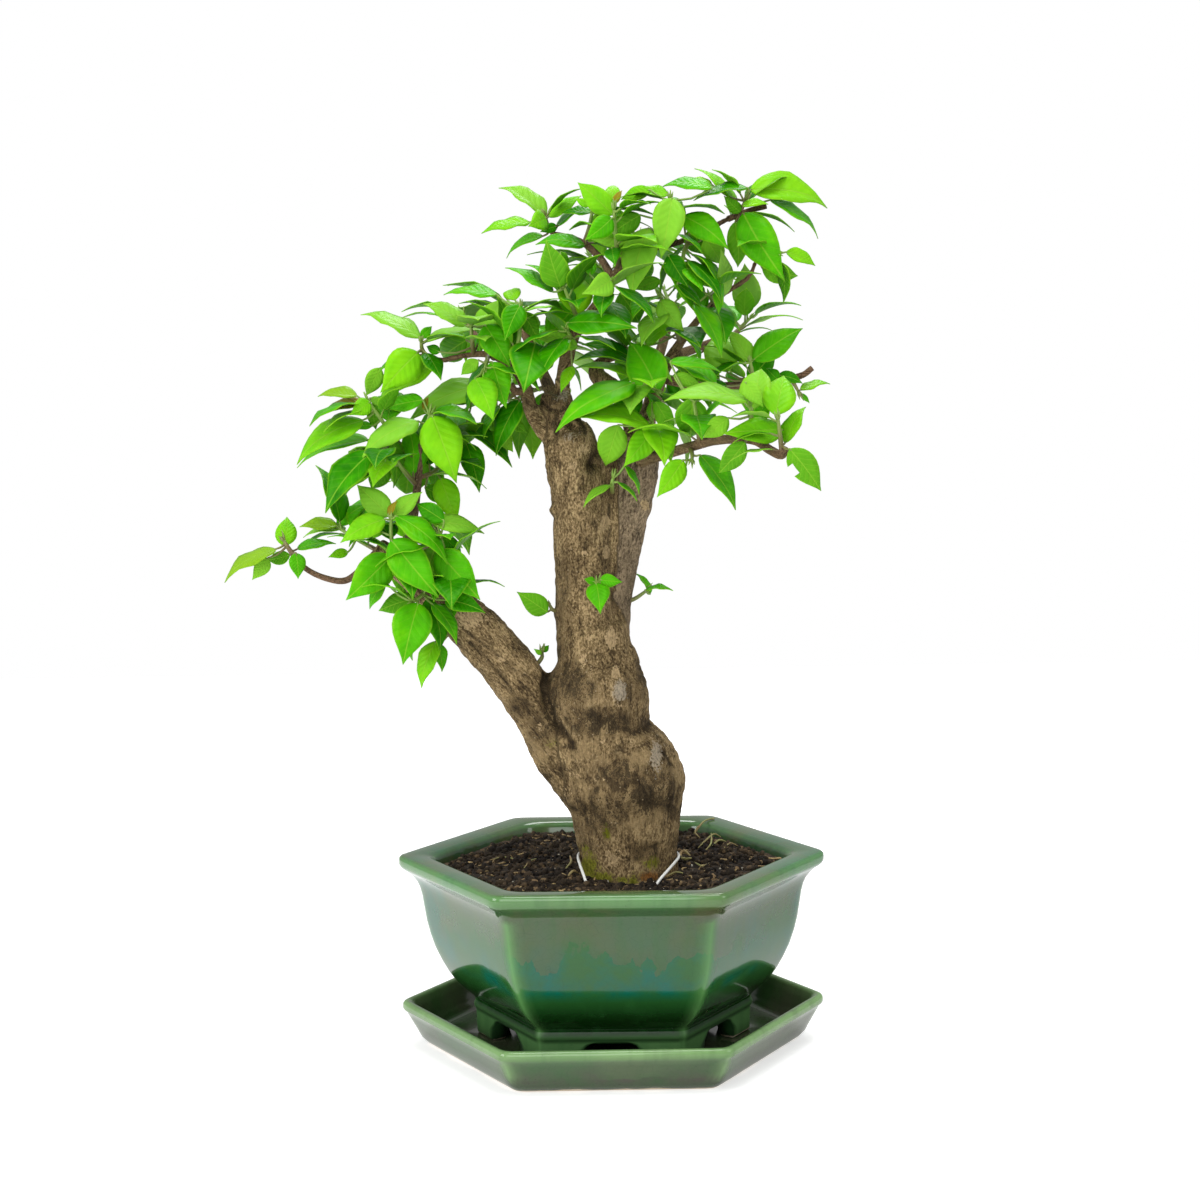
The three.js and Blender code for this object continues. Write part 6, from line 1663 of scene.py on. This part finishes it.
def grow_blade(bm, leaf, tone, draw):
    """One blade from a flat grid: folded along its rib, arched, its margin waved and its tip drawn out."""
    root, base, tip, normal, width = leaf
    along, face, side = blade_axes(base, tip, normal)
    length = (tip - base).length
    columns = len(BLADE_COLUMNS)
    rows = len(BLADE_OUTLINE)
    grid = bmesh.ops.create_grid(bm, x_segments=columns - 1, y_segments=rows - 1, size=1)["verts"]
    phase = FULL_TURN * next(draw)
    wave = drawn(draw, *BLADE_WAVE) * length
    droop = drawn(draw, *BLADE_DROOP) * length
    sway = drawn(draw, *BLADE_SWAY) * length
    fold = BLADE_FOLD * (LEAST_FOLD + MORE_FOLD * next(draw) ** 2)
    light = held(tone[0] + drawn(draw, *LIGHT_DRIFT))
    marks = bm.verts.layers.float_color["leaf_tone"]
    spots = bm.loops.layers.uv["leaf_place"]
    flat = {}
    for index, vert in enumerate(grid):
        across = BLADE_COLUMNS[index % columns]
        share, breadth = BLADE_OUTLINE[index // columns]
        half = breadth * width / 2
        lift = 4 * share * (1 - share) * BLADE_ARCH * length
        lift -= droop * max(0, (share - DROOP_FROM) / (1 - DROOP_FROM)) ** 2
        lift += half * (fold * abs(across) - MARGIN_CURL * across**4)
        swing = math.sin(phase + WAVES * share + (OUT_OF_STEP if across > 0 else 0))
        lift += wave * across * across * swing * math.sin(math.pi * min(share * 1.15, 1))
        bend = sway * math.sin(math.pi * share)
        flat[vert] = (across * half / length + 0.5, share)
        vert.co = base.lerp(tip, share) + face * lift + side * (across * half + bend)
        vert[marks] = (light, tone[1], tone[2], abs(across))
    faces = {face_of for vert in grid for face_of in vert.link_faces}
    for leaf_face in faces:
        for loop in leaf_face.loops:
            loop[spots].uv = flat[loop.vert]
    if next(iter(faces)).normal.dot(face) < 0:
        bmesh.ops.reverse_faces(bm, faces=list(faces))
    return grid


def tapered(radius, loss, count):
    return [radius - loss * step / (count - 1) for step in range(count)]


def grow_stalk(bm, leaf):
    """The leaf's stalk: it sags a little, thins outwards and runs on under the blade's base."""
    root, base, tip, normal, width = leaf
    along, face, side = blade_axes(base, tip, normal)
    middle = root.lerp(base, 0.5) - UP * (0.1 * (base - root).length)
    line = smooth_curve([root, middle, base, base + along * 0.0014 + face * 0.0001], 2)
    thin_rod(bm, line, tapered(STALK_RADIUS, STALK_TAPER, len(line)), 5)


def grow_bud(bm, end, way, draw):
    """The folded young leaves at a shoot's tip."""
    for index in range(BUD_LEAVES):
        turn = Matrix.Rotation(BUD_TURN * index + next(draw), 3, way)
        side = turn @ way.orthogonal().normalized()
        reach = drawn(draw, *BUD_LENGTH)
        middle = end + way * 0.4 * reach + side * 0.18 * reach
        tip = end + way * reach + side * 0.3 * reach
        thin_rod(bm, [end - way * 0.001, middle, tip], [0.0004, 0.0007, 0.00012], 6)


def spine_places(leaf):
    """Places along a blade's midrib, which stand for it where others have to keep clear."""
    root, base, tip, normal, width = leaf
    return [base.lerp(tip, share) for share in SPINE_SHARES]


def inner_leaves(points, places, draw):
    """The smaller, shaded leaves of a shoot, wherever round its stem there is room among the others.
    Each is clear of every other blade, with its tip among them, so that the crown keeps its outline."""
    length_of_stem = sum((b - a).length for a, b in zip(points, points[1:]))
    count = max(3, round(length_of_stem / INNER_SPACING))
    leaves = []
    for index in range(count):
        share = 0.08 + 0.88 * index / (count - 1)
        root = centripetal_point(points, share)
        after = centripetal_point(points, min(share + 0.01, 1))
        along = (after - centripetal_point(points, share - 0.01)).normalized()
        across = along.cross(UP).normalized()
        third = across.cross(along)
        start = FULL_TURN * next(draw)
        length = drawn(draw, *INNER_LENGTH) / 1000
        width = drawn(draw, *INNER_WIDTH) * length
        rise = drawn(draw, *INNER_RISE)
        tree = tree_of(places)
        for turn in range(INNER_TRIES):
            angle = start + turn * GOLDEN_TURN
            out = across * math.cos(angle) + third * math.sin(angle)
            way = (out + along * (0.3 + rise)).normalized()
            base = root + way * (0.8 * PETIOLE_LENGTH / 1000)
            leaf = (root, base, base + (way - 0.35 * UP).normalized() * length, UP + 0.4 * way, width)
            gaps = [tree.find(place)[2] for place in spine_places(leaf)]
            clear = min(gaps[:-1]) > INNER_CLEAR
            if clear and gaps[-1] < INNER_REACH and leaf[2].y > FOREMOST:
                places += spine_places(leaf)
                leaves.append(leaf)
                break
    return leaves


def shoot_mesh():
    bm = bmesh.new()
    bm.verts.layers.float_color.new("leaf_tone")
    bm.loops.layers.uv.new("leaf_place")
    return bm


def grow_shoot(node, points, leaves, upper, under, green, draw):
    """Blades with their thickness as one piece, and stem, stalks and buds as another."""
    blades = shoot_mesh()
    stalks = shoot_mesh()
    for index, (leaf, tone) in enumerate(leaves):
        grid = grow_blade(blades, leaf, tone, draw)
        if (node, index) == BITTEN_LEAF:
            eaten = [grid[row * len(BLADE_COLUMNS) + column] for row, column in BITES]
            bmesh.ops.delete(blades, geom=eaten, context="VERTS")
        grow_stalk(stalks, leaf)
    line = smooth_curve(points, 5)
    thin_rod(stalks, line, tapered(STEM_THICK, STEM_TAPER, len(line)), 8)
    grow_bud(stalks, line[-1], (line[-1] - line[-2]).normalized(), draw)
    marks = stalks.verts.layers.float_color["leaf_tone"]
    for vert in stalks.verts:
        away = (vert.co - points[0]).length
        vert[marks] = (min(away / GREEN_FROM, 1), 0, 0, 0)
    blade_piece = mesh_object("blades_" + node, blades, upper)
    blade_piece.data.materials.append(under)
    shell = blade_piece.modifiers.new("thickness", "SOLIDIFY")
    shell.thickness = BLADE_THICKNESS
    shell.offset = -1
    shell.material_offset = 1
    shell.material_offset_rim = 1
    stem_piece = mesh_object("stems_" + node, stalks, green)
    for piece in (blade_piece, stem_piece):
        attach(piece, "root")
    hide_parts("leafy_" + node)


def vein_group():
    """Masks of a leaf's midrib, side veins and the swell between them, from its own flat place."""
    group = bpy.data.node_groups.new("leaf_veins", "ShaderNodeTree")
    for name in ("Veins", "Midrib", "Quilting"):
        group.interface.new_socket(name, in_out="OUTPUT", socket_type="NodeSocketFloat")
    nodes = group.nodes
    links = group.links
    leaving = nodes.new("NodeGroupOutput")
    place = nodes.new("ShaderNodeUVMap")
    place.uv_map = "leaf_place"
    flat = parts_of(place.outputs["UV"], "ShaderNodeSeparateXYZ")
    aside = combined("ABSOLUTE", combined("SUBTRACT", flat["X"], 0.5))
    links.new(ranged(aside, 0.004, 0.015, 1, 0), leaving.inputs["Midrib"])
    climb = times(combined("POWER", aside, 0.8), 0.75)
    phase = combined("FRACT", times(combined("SUBTRACT", flat["Y"], climb), 7.5))
    centre = combined("ABSOLUTE", combined("SUBTRACT", phase, 0.5))
    links.new(ranged(centre, 0.0, 0.1, 1, 0), leaving.inputs["Veins"])
    links.new(ranged(centre, 0.0, 0.5, 0, 1), leaving.inputs["Quilting"])
    return group


LEAF_VEINS = vein_group()
# Linear colours. Each face of a leaf: three shades by how light the leaf is, which is partly painted light
# and shade, its pale tint, partly a painted sheen, its roughness and how strongly its side veins show.
UPPER_FACE = {
    "shades": ((0.012, 0.155, 0.0001), (0.06, 0.39, 0.0002), (0.19, 0.57, 0.0005)),
    "pale": (0.24, 0.52, 0.04), "roughness": 0.38, "vein_strength": 0.1,
}
UNDER_FACE = {
    "shades": ((0.05, 0.22, 0.004), (0.09, 0.34, 0.006), (0.17, 0.47, 0.01)),
    "pale": (0.26, 0.48, 0.08), "roughness": 0.55, "vein_strength": 0.3,
}
MIDRIB_STRENGTH = 0.5
RIB_GREEN = (0.26, 0.5, 0.035)
MARGIN_GREEN = (0.24, 0.52, 0.015)
YOUNG_RED = (0.26, 0.14, 0.012)
STEM_BROWN = (0.14, 0.085, 0.04)
STEM_GREEN = (0.2, 0.33, 0.05)


def leaf_material(name, shades, pale, roughness, vein_strength):
    material, nodes, links, finish = new_material(name)
    veins = nodes.new("ShaderNodeGroup")
    veins.node_tree = LEAF_VEINS
    tone = attribute(nodes, "leaf_tone")
    light_pale_red = parts_of(tone["Color"], "ShaderNodeSeparateColor")
    drift = ranged(noise_field(own_place(nodes), 90, 3), 0.3, 0.7, -0.16, 0.16)
    light = plus(light_pale_red["Red"], drift)
    # A leaf's lightness is partly painted light and shade, and its paleness partly a painted sheen.
    body = mixed(ranged(light, 0, 0.5), shades[0], shades[1])
    body = mixed(ranged(light, 0.5, 1), body, shades[2])
    body = mixed(light_pale_red["Green"], body, pale)
    body = mixed(light_pale_red["Blue"], body, YOUNG_RED)
    for mask, strength in (("Veins", vein_strength), ("Midrib", MIDRIB_STRENGTH)):
        body = mixed(times(veins.outputs[mask], strength), body, RIB_GREEN)
    body = mixed(ranged(tone["Alpha"], 0.86, 1.0, 0, 0.55), body, MARGIN_GREEN)
    links.new(body, finish.inputs["Base Color"])
    finish.inputs["Roughness"].default_value = roughness
    finish.inputs["Specular IOR Level"].default_value = 0.17
    finish.inputs["Specular Tint"].default_value = (0.7, 1, 0.3, 1)
    bumped(finish, combined("SUBTRACT", veins.outputs["Quilting"], veins.outputs["Midrib"]), 0.3, 0.0005)
    return material


def stem_material():
    """Green where the shoot is young, reddish brown where it leaves the wood."""
    material, nodes, links, finish = new_material("shoot_stem")
    youth = parts_of(attribute(nodes, "leaf_tone")["Color"], "ShaderNodeSeparateColor")["Red"]
    links.new(mixed(ranged(youth, 0.1, 0.7), STEM_BROWN, STEM_GREEN), finish.inputs["Base Color"])
    finish.inputs["Roughness"].default_value = 0.5
    return material


def make_shoots():
    """Leaves of the front from the sheet, of the back by their turn round the stem, then the inner ones."""
    draw = seeded(BACK_SEED)
    look = seeded(LOOK_SEED)
    upper = leaf_material("leaf_upper", **UPPER_FACE)
    under = leaf_material("leaf_under", **UNDER_FACE)
    green = stem_material()
    shifts = depth_shifts()
    shoots = {}
    for node, (stem, tones, rows) in FRONT_SHOOTS.items():
        corners = node_corners("leafy_" + node)
        leaves = []
        for row, tone in zip(rows, tones):
            choices = [sheet_leaf(stem, row, *shift) for shift in shifts]
            leaf = leaf_as_built(choices, corners) or choices[0]
            leaves.append((leaf, tone))
        shoots[node] = ([plot(*place) for place in stem], leaves)
    for node, (stem, count) in BACK_SHOOTS.items():
        corners = node_corners("leafy_" + node)
        points = [plot(*place) for place in stem]
        leaves = []
        for index in range(count):
            leaf = leaf_as_built(turned_leaves(points, index, count, draw), corners)
            if leaf and (node, len(leaves)) == DROOPING_LEAF:
                root, base, tip, normal, width = leaf
                leaf = (root, base, base + DROOP @ (tip - base), DROOP @ normal, width)
            if leaf:
                leaves.append((leaf, BACK_TONES[int(len(BACK_TONES) * next(look))]))
        shoots[node] = (points, leaves)
    places = []
    for points, leaves in shoots.values():
        for leaf, tone in leaves:
            places += spine_places(leaf)
    for node, (points, leaves) in shoots.items():
        if node not in OPEN_SHOOTS:
            for leaf in inner_leaves(points, places, look):
                leaves.append((leaf, INNER_TONES[int(len(INNER_TONES) * next(look))]))
        toned = [(leaf, TONES[tone]) for leaf, tone in leaves]
        grow_shoot(node, points, toned, upper, under, green, look)


make_shoots()
